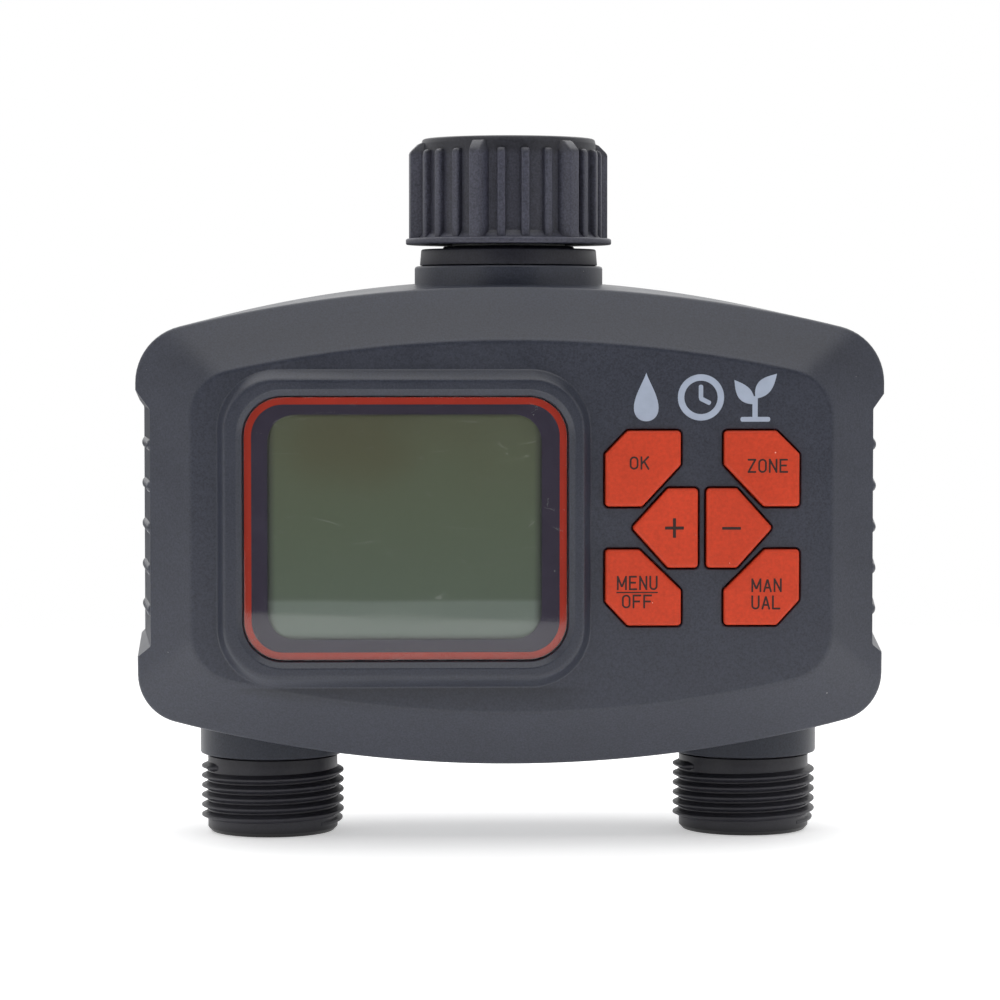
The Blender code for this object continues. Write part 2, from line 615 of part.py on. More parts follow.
collar = turned("collar", [(SPIGOT_R + 0.4, 108.5), (12.0, 108.5), (12.3, 107.7), (16.2, 107.7), (16.45, 105.1), (SPIGOT_R + 0.4, 105.1)], segs=24)
finish(collar, "neck_collar", BLACK)

for side, x in (("left", -OUTLET_X), ("right", OUTLET_X)):
    nip = turned("n", [(9.85, 38.0), (11.9, 38.0), (11.9, 26.8), (13.8, 26.8), (13.8, 25.0), (THREAD_ROOT, 25.0),
                       (THREAD_ROOT, 0.7), (THREAD_ROOT - 0.7, 0.0), (NIPPLE_BORE, 0.0), (NIPPLE_BORE, 24.5), (9.85, 25.2)],
                 at=(x, 0, 0), segs=18)
    combine(nip, thread("t", 2.0, 5.6, THREAD_ROOT, THREAD_CREST, per_turn=18, start=-80, at=(x, 0, 0)), "UNION")
    finish(nip, "outlet_nipple_" + side, BLACK, at=(x, 0, 0))
    prof = [(8.95 + 0.62 * math.cos(a), 29.1 + 0.62 * math.sin(a)) for a in (math.pi / 2 - k * math.pi / 3 for k in range(6))]
    finish(turned("o", prof, at=(x, 0, 0), segs=16), "outlet_oring_" + side, RUBBER, at=(x, 0, 29.1))

    # membrane valve: seat at the top of the outlet tube, water arrives round it
    dia = turned("d", [(10.1, 63.7), (14.6, 63.7), (14.6, 62.3), (10.1, 62.3)], at=(x, 0, 0), segs=20)
    finish(dia, "diaphragm_" + side, RUBBER, at=(x, 0, 62.3))
    disc = turned("v", [(0, 64.6), (7.0, 64.6), (9.6, 63.6), (9.6, 62.6), (7.2, 62.1), (7.2, 61.35), (0, 61.35)], at=(x, 0, 0), segs=16)
    finish(disc, "valve_disc_" + side, SILICONE, at=(x, 0, 61.35))
    bon = turned("b", [(0, 71.0), (12.5, 71.0), (14.8, 69.6), (14.8, 64.0), (10.2, 64.0), (10.2, 67.6), (0, 67.6)], at=(x, 0, 0), segs=16)
    combine(bon, rod("tube", 4.5, 70.0, 89.0, at=(x, 0, 0), segs=10), "UNION")
    combine(bon, rod("tube_bore", 3.8, 70.2, 88.0, at=(x, 0, 0), segs=10))
    combine(bon, rod("top_port", 1.2, 80.0, 92.0, at=(x, 0, 0), segs=6))
    combine(bon, rod("pilot_port", 0.8, 60.0, 75.0, at=(x, 0, 0), segs=6))
    finish(bon, "bonnet_" + side, WHITE, at=(x, 0, 64))
    plunger = turned("p", [(0, 80.5), (3.3, 80.5), (3.3, 71.9), (1.6, 70.8), (0, 70.8)], at=(x, 0, 0), segs=12)
    finish(plunger, "plunger_" + side, STEEL, at=(x, 0, 70.8))
    turns, per = 3, 8
    helix = [(x + 2.6 * math.cos(2 * math.pi * k / per), 2.6 * math.sin(2 * math.pi * k / per), 81.2 + 5.9 * k / (turns * per))
             for k in range(turns * per + 1)]
    finish(tube("s", helix, 0.35, 1), "plunger_spring_" + side, STEEL)
    coil = turned("c", [(4.9, 86.3), (8.8, 86.3), (8.8, 72.3), (4.9, 72.3)], at=(x, 0, 0), segs=20)
    finish(coil, "solenoid_coil_" + side, COPPER, at=(x, 0, 72.3))
    yoke = prism("y", [(-6.5, 71.3), (6.5, 71.3), (6.5, 87.7), (-6.5, 87.7)], -10.4, 10.4, at=(x, 0, 0))
    combine(yoke, block("inside", (-8, -9.2, 72.1), (8, 9.2, 86.6), at=(x, 0, 0)))
    combine(yoke, rod("hole", 4.9, 70, 90, at=(x, 0, 0), segs=12))
    finish(yoke, "solenoid_yoke_" + side, STEEL, at=(x, 0, 71.3))

# ---- inlet nut ----------------------------------------------------------------------
nut = turned("nut", [(14.3, NUT_Z1), (15.2, NUT_Z1), (15.9, NUT_Z1 - 0.9), (NUT_ROOT_R, 111.0),
                     (17.3, 110.0), (NUT_FLANGE_R, 109.95), (NUT_FLANGE_R, NUT_Z0),
                     (11.0, NUT_Z0), (11.0, 111.6), (NUT_BORE, 111.7), (NUT_BORE, NUT_Z1 - 1.0)],
             segs=36)
bm = bmesh.new()
for k in range(24):
    wide = k % 4 == 0
    ang = math.radians(-90 + NUT_PHASE + 15 * k)
    radial = Vector((math.cos(ang), math.sin(ang), 0))
    side = Vector((-math.sin(ang), math.cos(ang), 0))
    if wide:
        section = [(15.2, 1.75), (NUT_WIDE_R, 1.0), (NUT_WIDE_R, -1.0), (15.2, -1.75)]
        levels = [(109.6, 0.0), (125.3, 0.0), (127.0, 1.35)]
    else:
        section = [(15.3, 0.85), (NUT_RIB_R, 0.45), (NUT_RIB_R, -0.45), (15.3, -0.85)]
        levels = [(109.6, 0.0), (125.5, 0.0)]
    rings = []
    for z, cut in levels:
        rings.append([bm.verts.new((radial * (r - cut if r > 16 else r) + side * s) * MM + Vector((0, 0, z * MM))) for r, s in section])
    for a, b in zip(rings, rings[1:]):
        for i in range(4):
            bm.faces.new((a[i], a[(i + 1) % 4], b[(i + 1) % 4], b[i]))
    bm.faces.new(rings[0])
    bm.faces.new(rings[-1])
combine(nut, from_bmesh("ribs", bm), "UNION")
finish(nut, "inlet_nut", BLACK, at=(0, 0, NUT_Z0))
finish(turned("w", [(8.0, 117.6), (11.9, 117.6), (11.9, 115.2), (8.0, 115.2)], segs=24), "inlet_washer", RUBBER, at=(0, 0, 115.2))
strainer = turned("f", [(0, 114.9), (10.6, 114.9), (10.6, 114.3), (7.1, 114.3), (5.4, 103.6), (0, 103.6)], segs=16)
combine(strainer, rod("inside", 4.6, 104.2, 120.0, segs=12, r2=7.4))
finish(strainer, "inlet_filter", MESH, at=(0, 0, 114.3))

# ---- battery bay --------------------------------------------------------------------
bay = block("bay", (-BAY_X, BAY_Y0, BAY_Z0), (BAY_X, BAY_Y1, BAY_Z1))
combine(bay, block("bay_inside", (-BAY_X + 1.2, BAY_Y0 + 1.2, BAY_Z0 + 1.2), (BAY_X - 1.2, 40, BAY_Z1 - 1.2)))
finish(bay, "battery_box", BLACK)
for name, z, way in (("battery_upper", CELL_Z[0], 1), ("battery_lower", CELL_Z[1], -1)):
    half = CELL_LEN / 2
    cell = turned("cell", [(0, half), (2.6, half), (2.6, half - 1.1), (CELL_R - 0.5, half - 1.1), (CELL_R, half - 1.6), (CELL_R, -half + 0.4), (CELL_R - 0.4, -half), (0, -half)], segs=20)
    cell.data.transform(Matrix.Rotation(math.radians(90 * way), 4, "Y"))
    cell.location = (0, CELL_Y * MM, z * MM)
    finish(cell, name, CELL)
finish(block("p", (27.0, 16.0, 58.0), (27.5, 26.0, 84.0)), "battery_bridge", NICKEL)
finish(block("p", (-27.5, 16.0, 73.0), (-27.0, 26.0, 84.0)), "battery_contact_upper", NICKEL)
finish(block("p", (-27.5, 16.0, 58.0), (-27.0, 26.0, 69.0)), "battery_contact_lower", NICKEL)

door = prism("door", rounded([(-hw, z0), (hw, z0), (hw, z1), (-hw, z1)], 4.0, 3), 30.4, 31.9)
lip = block("lip", (-27.4, 28.4, 56.1), (27.4, 30.8, 85.4))
combine(lip, block("lip_inside", (-25.6, 27, 57.9), (25.6, 30.6, 83.6)))
combine(door, lip, "UNION")
for z in (83.4, 81.4, 79.4):
    combine(door, block("grip_bar", (-9, 31.7, z - 0.4), (9, 32.3, z + 0.4)), "UNION")
combine(door, rod("screw_seat", 5.2, 31.0, 36, at=(0, 0, DOOR_SCREW_Z), axis="Y", segs=20))
combine(door, rod("screw_hole", 2.3, 20, 36, at=(0, 0, DOOR_SCREW_Z), axis="Y", segs=14))
finish(door, "battery_door", CHARCOAL, at=(0, 30.4, DOOR_SCREW_Z))
seal = prism("seal", rounded([(-28.2, 55.3), (28.2, 55.3), (28.2, 86.2), (-28.2, 86.2)], 1.0, 2), 29.2, 29.8)
combine(seal, block("c", (-27.7, 28, 55.8), (27.7, 31, 85.7)))
finish(seal, "battery_door_seal", SILICONE, at=(0, 29.2, DOOR_SCREW_Z))
screw = turned("screw", [(0, 11.0), (4.3, 11.0), (4.7, 10.6), (4.7, 10.0), (2.0, 10.0), (2.0, 0.0), (0, 0.0)], segs=16)
combine(screw, block("slot", (-6, -0.6, 10.4), (6, 0.6, 12)))
screw.data.transform(Matrix.Rotation(math.radians(-90), 4, "X"))
screw.location = (0, 21.3 * MM, DOOR_SCREW_Z * MM)
finish(screw, "battery_door_screw", NICKEL)

# ---- screws and wires ---------------------------------------------------------------
for k, (x, z, r) in enumerate(SCREWS):
    s = turned("s", [(0, 2.0), (1.6, 2.0), (2.6, 1.2), (2.6, 0.0), (1.4, 0.0), (1.4, -26.0), (0, -26.0)], segs=10)
    combine(s, block("slot", (-1.6, -0.35, 1.2), (1.6, 0.35, 3)))
    s.data.transform(Matrix.Rotation(math.radians(-90), 4, "X"))
    s.location = (x * MM, 14.3 * MM, z * MM)
    finish(s, "housing_screw_%d" % (k + 1), STEEL)

for side, sx in (("left", -1), ("right", 1)):
    route = smooth_route([(sx * 43.8 - sx * 9.3, -3, 78), (sx * 31, -8, 78), (sx * 28, -14, 76), (sx * 26, -19, 74), (sx * 26, -22.2, 74)], 3)
    finish(tube("w", route, 0.8, 2), "coil_lead_" + side, WIRE)
route = smooth_route([(14, 11.8, 70), (14.5, 8, 70), (16, 0, 72), (16.5, -10, 72), (14.5, -17, 71), (14, -22.2, 70)], 3)
finish(tube("w", route, 0.9, 2), "battery_lead", WIRE)
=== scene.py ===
import math
import random

import bmesh
import bpy
from mathutils import Matrix, Vector


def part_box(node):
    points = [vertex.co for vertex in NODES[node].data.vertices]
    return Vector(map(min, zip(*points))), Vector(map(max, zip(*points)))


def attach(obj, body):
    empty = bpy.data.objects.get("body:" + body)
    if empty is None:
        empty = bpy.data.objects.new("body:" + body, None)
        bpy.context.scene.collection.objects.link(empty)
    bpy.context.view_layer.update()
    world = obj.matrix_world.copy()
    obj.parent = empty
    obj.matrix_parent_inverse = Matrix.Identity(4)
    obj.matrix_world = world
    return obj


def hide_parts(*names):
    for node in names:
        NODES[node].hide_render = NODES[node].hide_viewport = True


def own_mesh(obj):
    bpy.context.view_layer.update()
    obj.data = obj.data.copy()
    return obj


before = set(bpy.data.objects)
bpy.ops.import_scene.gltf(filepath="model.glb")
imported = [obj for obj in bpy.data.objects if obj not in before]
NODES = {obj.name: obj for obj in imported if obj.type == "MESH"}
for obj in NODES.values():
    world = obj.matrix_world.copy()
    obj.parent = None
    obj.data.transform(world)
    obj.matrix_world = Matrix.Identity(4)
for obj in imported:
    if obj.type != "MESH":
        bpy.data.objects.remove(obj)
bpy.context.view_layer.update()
MM = 0.001
scene = bpy.context.scene
scene.view_settings.view_transform = "Standard"
scene.view_settings.look = "None"

# ---- the CAD's own sizes, in millimetres ------------------------------------------------
PARTING = (68.15, 102.27, 13.6, 216.0, 225.0, 13.6, 16.0, -0.28)
EDGE = (67.25, 100.88, 14.92, 248.7, 240.2, 10.3, 8.7, -0.26)
PLATEAU = (57.28, 91.2, 24.7, 239.0, 222.0, 8.7, 8.7, -0.23)
FRONT_EDGE_Y, FRONT_Y, REAR_EDGE_Y, REAR_Y = -23.5, -30.2, 24.5, 31.2
WALL, FRONT_WALL, PARTING_GAP = 2.4, 2.8, 0.15
GRIP_Z0, GRIP_Z1, GRIP_CHAMFER, GRIP_DEPTH = 36.1, 81.4, 2.5, 1.8
GRIP_RIBS_Z = (72.45, 65.0, 57.55, 50.1, 42.75)
RIDGE_HALF, RIDGE_R, RIDGE_Y = (33.0, 28.2), 10.5, -32.3
WINDOW_HALF, WINDOW_R, WINDOW_Y0, WINDOW_Y1 = (28.65, 23.45), 7.0, -31.4, -30.1
LCD_HALF, VIEW_HALF = (26.0, 21.6), (24.0, 19.8)
KEYS = {
    "button_ok": [(20.25, 75.2), (29.77, 75.2), (29.77, 69.15), (22.87, 61.7), (16.28, 61.7), (16.28, 71.1)],
    "button_zone": [(37.44, 75.2), (46.8, 75.2), (50.93, 71.1), (50.93, 61.7), (44.5, 61.7), (37.44, 69.15)],
    "button_plus": [(27.45, 64.95), (32.83, 64.95), (32.83, 50.78), (27.45, 50.78), (21.04, 57.9)],
    "button_minus": [(34.3, 64.95), (39.78, 64.95), (46.13, 57.9), (39.78, 50.78), (34.3, 50.78)],
    "button_menu": [(16.3, 54.05), (22.35, 54.05), (29.83, 46.8), (29.83, 40.47), (20.27, 40.47), (16.3, 44.72)],
    "button_manual": [(44.73, 54.05), (50.92, 54.05), (50.92, 45.0), (46.88, 40.53), (37.45, 40.53), (37.45, 46.8)],
}
KEY_FRONT_Y = -31.3
OUTLET_X, PITCH, CREST, ROOT, BORE = 43.96, 1.814, 13.22, 12.05, 9.0
BOSS_R, NECK_R, NECK_Z = 13.41, 17.42, 104.8
NUT_Z0, NUT_Z1 = 108.8, 128.3
NUT_ROOT_R, NUT_RIB_R, NUT_WIDE_R, NUT_FLANGE_R, NUT_PHASE = 16.15, 17.3, 18.58, 19.05, -21.2
BAY_X, BAY_Z0, BAY_Z1 = 29.5, 54.0, 87.5
DOOR = (32.0, 43.0, 88.5)
DOOR_SCREW_Z = 48.0
SCREWS = [(57.5, 82.5, 4.0), (-57.5, 82.5, 4.0), (60.2, 31.2, 3.2), (-60.2, 31.2, 3.2), (20.0, 21.6, 3.2), (-20.0, 21.6, 3.2)]


def middle(node):
    """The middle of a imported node's box, in millimetres."""
    lo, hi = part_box(node)
    return [(a + b) / 2 / MM for a, b in zip(lo, hi)]


WIN = middle("display_window")
DX, DZ = WIN[0], WIN[2]
PANE_X, PANE_HW = DX - 0.13, WINDOW_HALF[0] + 0.13
VIEW_X, VIEW_Z, VIEW_HX, VIEW_HZ, VIEW_R = DX - 0.30, DZ + 0.25, 24.4, 20.05, 5.0


# ---- materials --------------------------------------------------------------------------
class Nodes:
    """A small helper round a material's node tree."""

    def __init__(self, name):
        self.mat = bpy.data.materials.new(name)
        self.mat.use_nodes = True
        self.t = self.mat.node_tree
        self.b = self.t.nodes["Principled BSDF"]
        self.coord = self.new("ShaderNodeTexCoord").outputs["Object"]

    def new(self, kind, **values):
        n = self.t.nodes.new(kind)
        for k, v in values.items():
            setattr(n, k, v)
        return n

    def link(self, a, b):
        self.t.links.new(a, b)

    def noise(self, scale, detail=3.0, rough=0.55, distort=0.0, coord=None):
        n = self.new("ShaderNodeTexNoise")
        n.inputs["Scale"].default_value = scale
        n.inputs["Detail"].default_value = detail
        n.inputs["Roughness"].default_value = rough
        n.inputs["Distortion"].default_value = distort
        self.link(coord or self.coord, n.inputs["Vector"])
        return n.outputs["Fac"]

    def stretched(self, scale):
        m = self.new("ShaderNodeMapping")
        m.inputs["Scale"].default_value = scale
        self.link(self.coord, m.inputs["Vector"])
        return m.outputs["Vector"]

    def spots(self, scale, size, keep, coord=None):
        """1 in small round spots, one in some of the cells, else 0."""
        v = self.new("ShaderNodeTexVoronoi")
        v.inputs["Scale"].default_value = scale
        self.link(coord or self.coord, v.inputs["Vector"])
        near = self.math("LESS_THAN", v.outputs["Distance"], size)
        pick = self.math("GREATER_THAN", self.split(v.outputs["Color"], 0), 1.0 - keep)
        return self.math("MULTIPLY", near, pick)

    def split(self, colour, channel):
        n = self.new("ShaderNodeSeparateColor")
        self.link(colour, n.inputs["Color"])
        return n.outputs[channel]

    def axis(self, which, coord=None):
        n = self.new("ShaderNodeSeparateXYZ")
        self.link(coord or self.coord, n.inputs[0])
        return n.outputs[which]

    def math(self, op, a, b=0.0, c=None):
        n = self.new("ShaderNodeMath", operation=op)
        for i, v in enumerate((a, b) if c is None else (a, b, c)):
            if isinstance(v, (int, float)):
                n.inputs[i].default_value = v
            else:
                self.link(v, n.inputs[i])
        return n.outputs[0]

    def span(self, value, a, b, lo, hi, smooth=False):
        n = self.new("ShaderNodeMapRange")
        n.interpolation_type = "SMOOTHSTEP" if smooth else "LINEAR"
        for k, v in zip(("From Min", "From Max", "To Min", "To Max"), (a, b, lo, hi)):
            n.inputs[k].default_value = v
        self.link(value, n.inputs["Value"])
        return n.outputs["Result"]

    def mix(self, fac, a, b, blend="MIX"):
        n = self.new("ShaderNodeMix", data_type="RGBA", blend_type=blend)
        if isinstance(fac, (int, float)):
            n.inputs[0].default_value = fac
        else:
            self.link(fac, n.inputs[0])
        for i, v in ((6, a), (7, b)):
            if isinstance(v, tuple):
                n.inputs[i].default_value = (*v, 1.0)
            else:
                self.link(v, n.inputs[i])
        return n.outputs[2]

    def ramp(self, value, stops):
        n = self.new("ShaderNodeValToRGB")
        e = n.color_ramp.elements
        while len(e) < len(stops):
            e.new(0.5)
        for el, (p, c) in zip(e, stops):
            el.position = p
            el.color = (*c, 1.0)
        self.link(value, n.inputs["Fac"])
        return n.outputs["Color"]

    def bump(self, height, strength, depth, under=None):
        n = self.new("ShaderNodeBump")
        n.inputs["Strength"].default_value = strength
        n.inputs["Distance"].default_value = depth
        self.link(height, n.inputs["Height"])
        if under is not None:
            self.link(under, n.inputs["Normal"])
        return n.outputs["Normal"]

    def set(self, name, value):
        s = self.b.inputs[name]
        if isinstance(value, tuple):
            s.default_value = (*value, 1.0)
        elif isinstance(value, (int, float)):
            s.default_value = value
        else:
            self.link(value, s)
        return self


def shade(c, k):
    return tuple(v * k for v in c)


def plastic(name, rgb, rough, grain=3000.0, grain_strength=0.35, grain_depth=0.00004, vary=0.10, dust=0.0,
            dust_rgb=(0.5, 0.5, 0.5), spec=0.5, speckle=0.10, tone=None):
    """Moulded plastic: spark-textured grain, faint cloudiness, uneven gloss, stray dust; a tone, when given, multiplies
    the base colour by painted light and shade.
    """
    m = Nodes(name)
    cloud = m.noise(70.0, 4.0)
    fine = m.noise(grain, 2.0, 0.6)
    base = m.mix(m.span(cloud, 0.35, 0.65, 0.0, 1.0), shade(rgb, 1 - vary), shade(rgb, 1 + vary))
    base = m.mix(m.span(fine, 0.3, 0.7, 0.0, 1.0), m.mix(1.0, base, shade((1.0, 1.0, 1.0), 1 - speckle), "MULTIPLY"), m.mix(1.0, base, shade((1.0, 1.0, 1.0), 1 + speckle), "MULTIPLY"))
    if dust:
        grain_a = m.spots(230.0, 0.030, dust)
        grain_b = m.spots(520.0, 0.045, dust * 0.5)
        base = m.mix(m.math("MULTIPLY", m.math("MAXIMUM", grain_a, grain_b), 0.75), base, dust_rgb)
    # tone: painted light and shade, multiplied into the base colour
    if tone:
        scale = m.new("ShaderNodeVectorMath", operation="SCALE")
        m.link(base, scale.inputs[0])
        m.link(tone(m), scale.inputs["Scale"])
        base = scale.outputs[0]
    m.set("Base Color", base)
    m.set("Roughness", m.math("ADD", m.span(cloud, 0.3, 0.7, rough - 0.04, rough + 0.04), m.span(fine, 0.3, 0.7, -0.04, 0.04)))
    m.set("Specular IOR Level", spec)
    m.set("Normal", m.bump(fine, grain_strength, grain_depth))
    return m.mat


def threaded(name, rgb, rough, spec):
    """Black nylon of the outlets, faintly cloudy; painted shade darkens the mouth, painted light lifts the threaded
    length, and painted shadow darkens the band under the boss.
    """
    m = Nodes(name)
    z = m.axis(2)
    cloud = m.noise(90.0, 3.0)
    fine = m.noise(2600.0, 2.0, 0.6)
    # painted shade at the mouth, painted light on the thread, painted shadow on the band under the boss
    k = m.math("MULTIPLY", m.span(z, 0.3 * MM, 2.2 * MM, 0.45, 2.1, True), m.span(z, 12.2 * MM, 13.2 * MM, 1.0, 0.75, True))
    k = m.math("MULTIPLY", k, m.span(cloud, 0.3, 0.7, 0.86, 1.14))
    k = m.math("MULTIPLY", k, m.span(fine, 0.3, 0.7, 0.85, 1.15))
    lift = m.mix(1.0, rgb, (1.0, 1.0, 1.0), "MULTIPLY")
    scale = m.new("ShaderNodeVectorMath", operation="SCALE")
    m.link(lift, scale.inputs[0])
    m.link(k, scale.inputs["Scale"])
    m.set("Base Color", scale.outputs[0])
    m.set("Roughness", m.math("ADD", m.span(cloud, 0.3, 0.7, rough - 0.04, rough + 0.04), m.span(fine, 0.3, 0.7, -0.04, 0.04)))
    m.set("Specular IOR Level", spec)
    m.set("Normal", m.bump(fine, 0.3, 0.00004))
    return m.mat


def metal(name, rgb, rough, scale=(400.0, 400.0, 4000.0)):
    m = Nodes(name)
    streak = m.noise(1.0, 3.0, coord=m.stretched(scale))
    blot = m.noise(220.0, 3.0)
    m.set("Base Color", m.mix(m.span(streak, 0.3, 0.7, 0.0, 1.0), shade(rgb, 0.82), shade(rgb, 1.08)))
    m.set("Metallic", 1.0)
    m.set("Roughness", m.math("ADD", m.span(blot, 0.3, 0.7, rough - 0.06, rough + 0.06), m.span(streak, 0.3, 0.7, -0.05, 0.05)))
    m.set("Normal", m.bump(streak, 0.15, 0.00003))
    return m.mat


def nut_painted_light(m):
    """Painted light on the ribs, painted shade in the grooves and round the top rim."""
    x, y, z = m.axis(0), m.axis(1), m.axis(2)
    r = m.math("SQRT", m.math("ADD", m.math("MULTIPLY", x, x), m.math("MULTIPLY", y, y)))
    # painted light on the ribs and painted shade in the grooves, set by radius
    k = m.span(r, 16.35 * MM, 17.0 * MM, 0.88, 1.32, True)
    # painted shade round the top rim, darker towards the top
    return m.math("MULTIPLY", k, m.span(z, 124.6 * MM, 126.2 * MM, 1.0, 0.50, True))


def neck_painted_light(m):
    """Painted light: the neck is painted a little paler than the housing it stands on."""
    x, y, z = m.axis(0), m.axis(1), m.axis(2)
    r = m.math("SQRT", m.math("ADD", m.math("MULTIPLY", x, x), m.math("MULTIPLY", y, y)))
    # painted light over the neck cylinder above the housing
    on = m.math("MULTIPLY", m.span(r, (NECK_R + 0.25) * MM, (NECK_R + 0.35) * MM, 1.0, 0.0), m.span(z, 97.0 * MM, 98.0 * MM, 0.0, 1.0))
    return m.math("ADD", 1.0, m.math("MULTIPLY", on, 0.26))


def shell_painted_light(m):
    """Painted light on the neck, painted shadow under the display ridge, and painted shade on the slope above the front
    plateau, strongest high up.
    """
    y, z = m.axis(1), m.axis(2)
    # painted shade on the slope above the front plateau: full above z 90 mm, gone below z 82 mm
    slope = m.math("MULTIPLY", m.span(y, -29.9 * MM, -29.6 * MM, 0.0, 1.0), m.span(y, -26.6 * MM, -24.4 * MM, 1.0, 0.0))
    slope = m.math("MULTIPLY", slope, m.span(z, 82.0 * MM, 90.0 * MM, 0.0, 0.15, True))
    return m.math("MULTIPLY", m.math("MULTIPLY", ridge_painted_shadow(m), neck_painted_light(m)), m.math("SUBTRACT", 1.0, slope))


def ridge_painted_shadow(m):
    """A soft painted shadow in the corner under the display ridge."""
    x, y, z = m.axis(0), m.axis(1), m.axis(2)
    foot = DZ - RIDGE_HALF[1] - 0.6
    wide = m.span(m.math("ABSOLUTE", m.math("SUBTRACT", x, (PANE_X - 0.3) * MM)), 26.0 * MM, 34.5 * MM, 1.0, 0.0, True)
    low = m.math("MULTIPLY", m.span(z, (foot - 4.6) * MM, (foot + 0.1) * MM, 0.0, 1.0), m.span(z, (foot + 0.2) * MM, (foot + 0.5) * MM, 1.0, 0.0))
    front = m.span(y, -29.6 * MM, -28.6 * MM, 1.0, 0.0)
    # painted shadow: base colour down by up to a third just below the ridge's foot
    return m.math("SUBTRACT", 1.0, m.math("MULTIPLY", m.math("MULTIPLY", wide, low), m.math("MULTIPLY", front, 0.34)))


# SHELL, SHELL_REAR and NYLON_NUT carry painted light and shade through tone
SHELL = plastic("charcoal_shell_grain", (0.0292, 0.0328, 0.0480), 0.36, tone=shell_painted_light, dust=0.06, dust_rgb=(0.30, 0.30, 0.30), vary=0.05, speckle=0.30)
# the rear shell's neck half carries the same painted light
SHELL_REAR = plastic("charcoal_shell_grain_rear", (0.0292, 0.0328, 0.0480), 0.36, tone=neck_painted_light, dust=0.06, dust_rgb=(0.30, 0.30, 0.30), vary=0.05, speckle=0.30)
NYLON = plastic("black_nylon_grain", (0.0135, 0.0132, 0.0165), 0.42, grain=2600.0, grain_strength=0.3, vary=0.12, dust=0.04, dust_rgb=(0.2, 0.2, 0.2), spec=0.34, speckle=0.15)
NYLON_NUT = plastic("black_nylon_nut", (0.040, 0.041, 0.058), 0.42, grain=2600.0, grain_strength=0.4, vary=0.10, dust=0.05, dust_rgb=(0.3, 0.3, 0.3), speckle=0.40, tone=nut_painted_light)
NYLON_COLLAR = plastic("black_nylon_collar", (0.0262, 0.0262, 0.0370), 0.42, grain=2600.0, grain_strength=0.4, vary=0.12, dust=0.04, dust_rgb=(0.2, 0.2, 0.2), spec=0.4, speckle=0.3)
SHELL_BOSS = plastic("charcoal_shell_boss", (0.0235, 0.0270, 0.0385), 0.40, dust=0.06, dust_rgb=(0.30, 0.30, 0.30), vary=0.05, spec=0.30, speckle=0.30)
ORANGE = plastic("orange_silicone_caps", (0.545, 0.046, 0.014), 0.48, grain=1900.0, grain_strength=0.25, vary=0.05, dust=0.35, dust_rgb=(0.95, 0.6, 0.5), spec=0.3)
NYLON_THREAD = threaded("black_nylon_thread", (0.0135, 0.0132, 0.0165), 0.42, 0.34)
WHITE = plastic("white_acetal_moulded", (0.72, 0.72, 0.69), 0.42, vary=0.04)
RUBBER = plastic("black_rubber_matt", (0.018, 0.018, 0.018), 0.72, grain=1800.0, vary=0.12)
SILICONE = plastic("grey_silicone_soft", (0.33, 0.33, 0.34), 0.58, grain=1800.0, vary=0.05)
WIRE = plastic("wire_sleeve_red", (0.42, 0.035, 0.028), 0.42, grain=1500.0, vary=0.06)
STEEL = metal("zinc_steel_bright", (0.62, 0.62, 0.60), 0.30)
NICKEL = metal("nickel_plate_bright", (0.66, 0.63, 0.58), 0.24)


def copper():
    m = Nodes("copper_winding_turns")
    z = m.axis(2)
    turn = m.math("ABSOLUTE", m.math("SINE", m.math("MULTIPLY", z, math.pi / 0.00035)))
    cloud = m.noise(300.0, 3.0)
    m.set("Base Color", m.mix(m.span(cloud, 0.3, 0.7, 0.0, 1.0), (0.42, 0.15, 0.06), (0.62, 0.27, 0.12)))
    m.set("Metallic", 0.9)
    m.set("Roughness", m.span(turn, 0.0, 1.0, 0.55, 0.26))
    m.set("Normal", m.bump(turn, 0.9, 0.0001))
    return m.mat


def board():
    m = Nodes("board_green_traces")
    cells = m.new("ShaderNodeTexBrick")
    m.link(m.stretched((260.0, 1.0, 260.0)), cells.inputs["Vector"])
    cells.inputs["Scale"].default_value = 1.0
    cells.inputs["Mortar Size"].default_value = 0.05
    line = cells.outputs["Fac"]
    pads = m.spots(240.0, 0.12, 0.35)
    cloud = m.noise(120.0, 3.0)
    green = m.mix(m.span(cloud, 0.3, 0.7, 0.0, 1.0), (0.010, 0.100, 0.035), (0.020, 0.150, 0.055))
    m.set("Base Color", m.mix(pads, m.mix(m.math("MULTIPLY", line, 0.6), green, (0.05, 0.26, 0.10)), (0.62, 0.52, 0.30)))
    m.set("Roughness", m.span(cloud, 0.3, 0.7, 0.28, 0.40))
    m.set("Normal", m.bump(m.math("MAXIMUM", pads, line), 0.3, 0.00004))
    return m.mat


def foam():
    m = Nodes("foam_tape_open")
    v = m.new("ShaderNodeTexVoronoi")
    v.inputs["Scale"].default_value = 2400.0
    m.link(m.coord, v.inputs["Vector"])
    m.set("Base Color", m.mix(v.outputs["Distance"], (0.012, 0.012, 0.012), (0.05, 0.05, 0.05)))
    m.set("Roughness", m.span(v.outputs["Distance"], 0.0, 0.8, 0.85, 1.0))
    m.set("Normal", m.bump(v.outputs["Distance"], 0.8, 0.0002))
    return m.mat


def strainer():
    m = Nodes("strainer_mesh_weave")
    x, y, z = (m.axis(i) for i in range(3))
    ang = m.math("ARCTAN2", y, x)
    a = m.math("ABSOLUTE", m.math("SINE", m.math("MULTIPLY", ang, 26.0)))
    b = m.math("ABSOLUTE", m.math("SINE", m.math("MULTIPLY", z, math.pi / 0.0007)))
    wires = m.math("MAXIMUM", a, b)
    m.set("Base Color", m.mix(m.span(wires, 0.55, 0.95, 0.0, 1.0, True), (0.03, 0.03, 0.03), (0.55, 0.56, 0.55)))
    m.set("Metallic", m.span(wires, 0.55, 0.95, 0.0, 0.9, True))
    m.set("Roughness", m.span(wires, 0.5, 1.0, 0.7, 0.32))
    m.set("Normal", m.bump(wires, 0.8, 0.0002))
    return m.mat


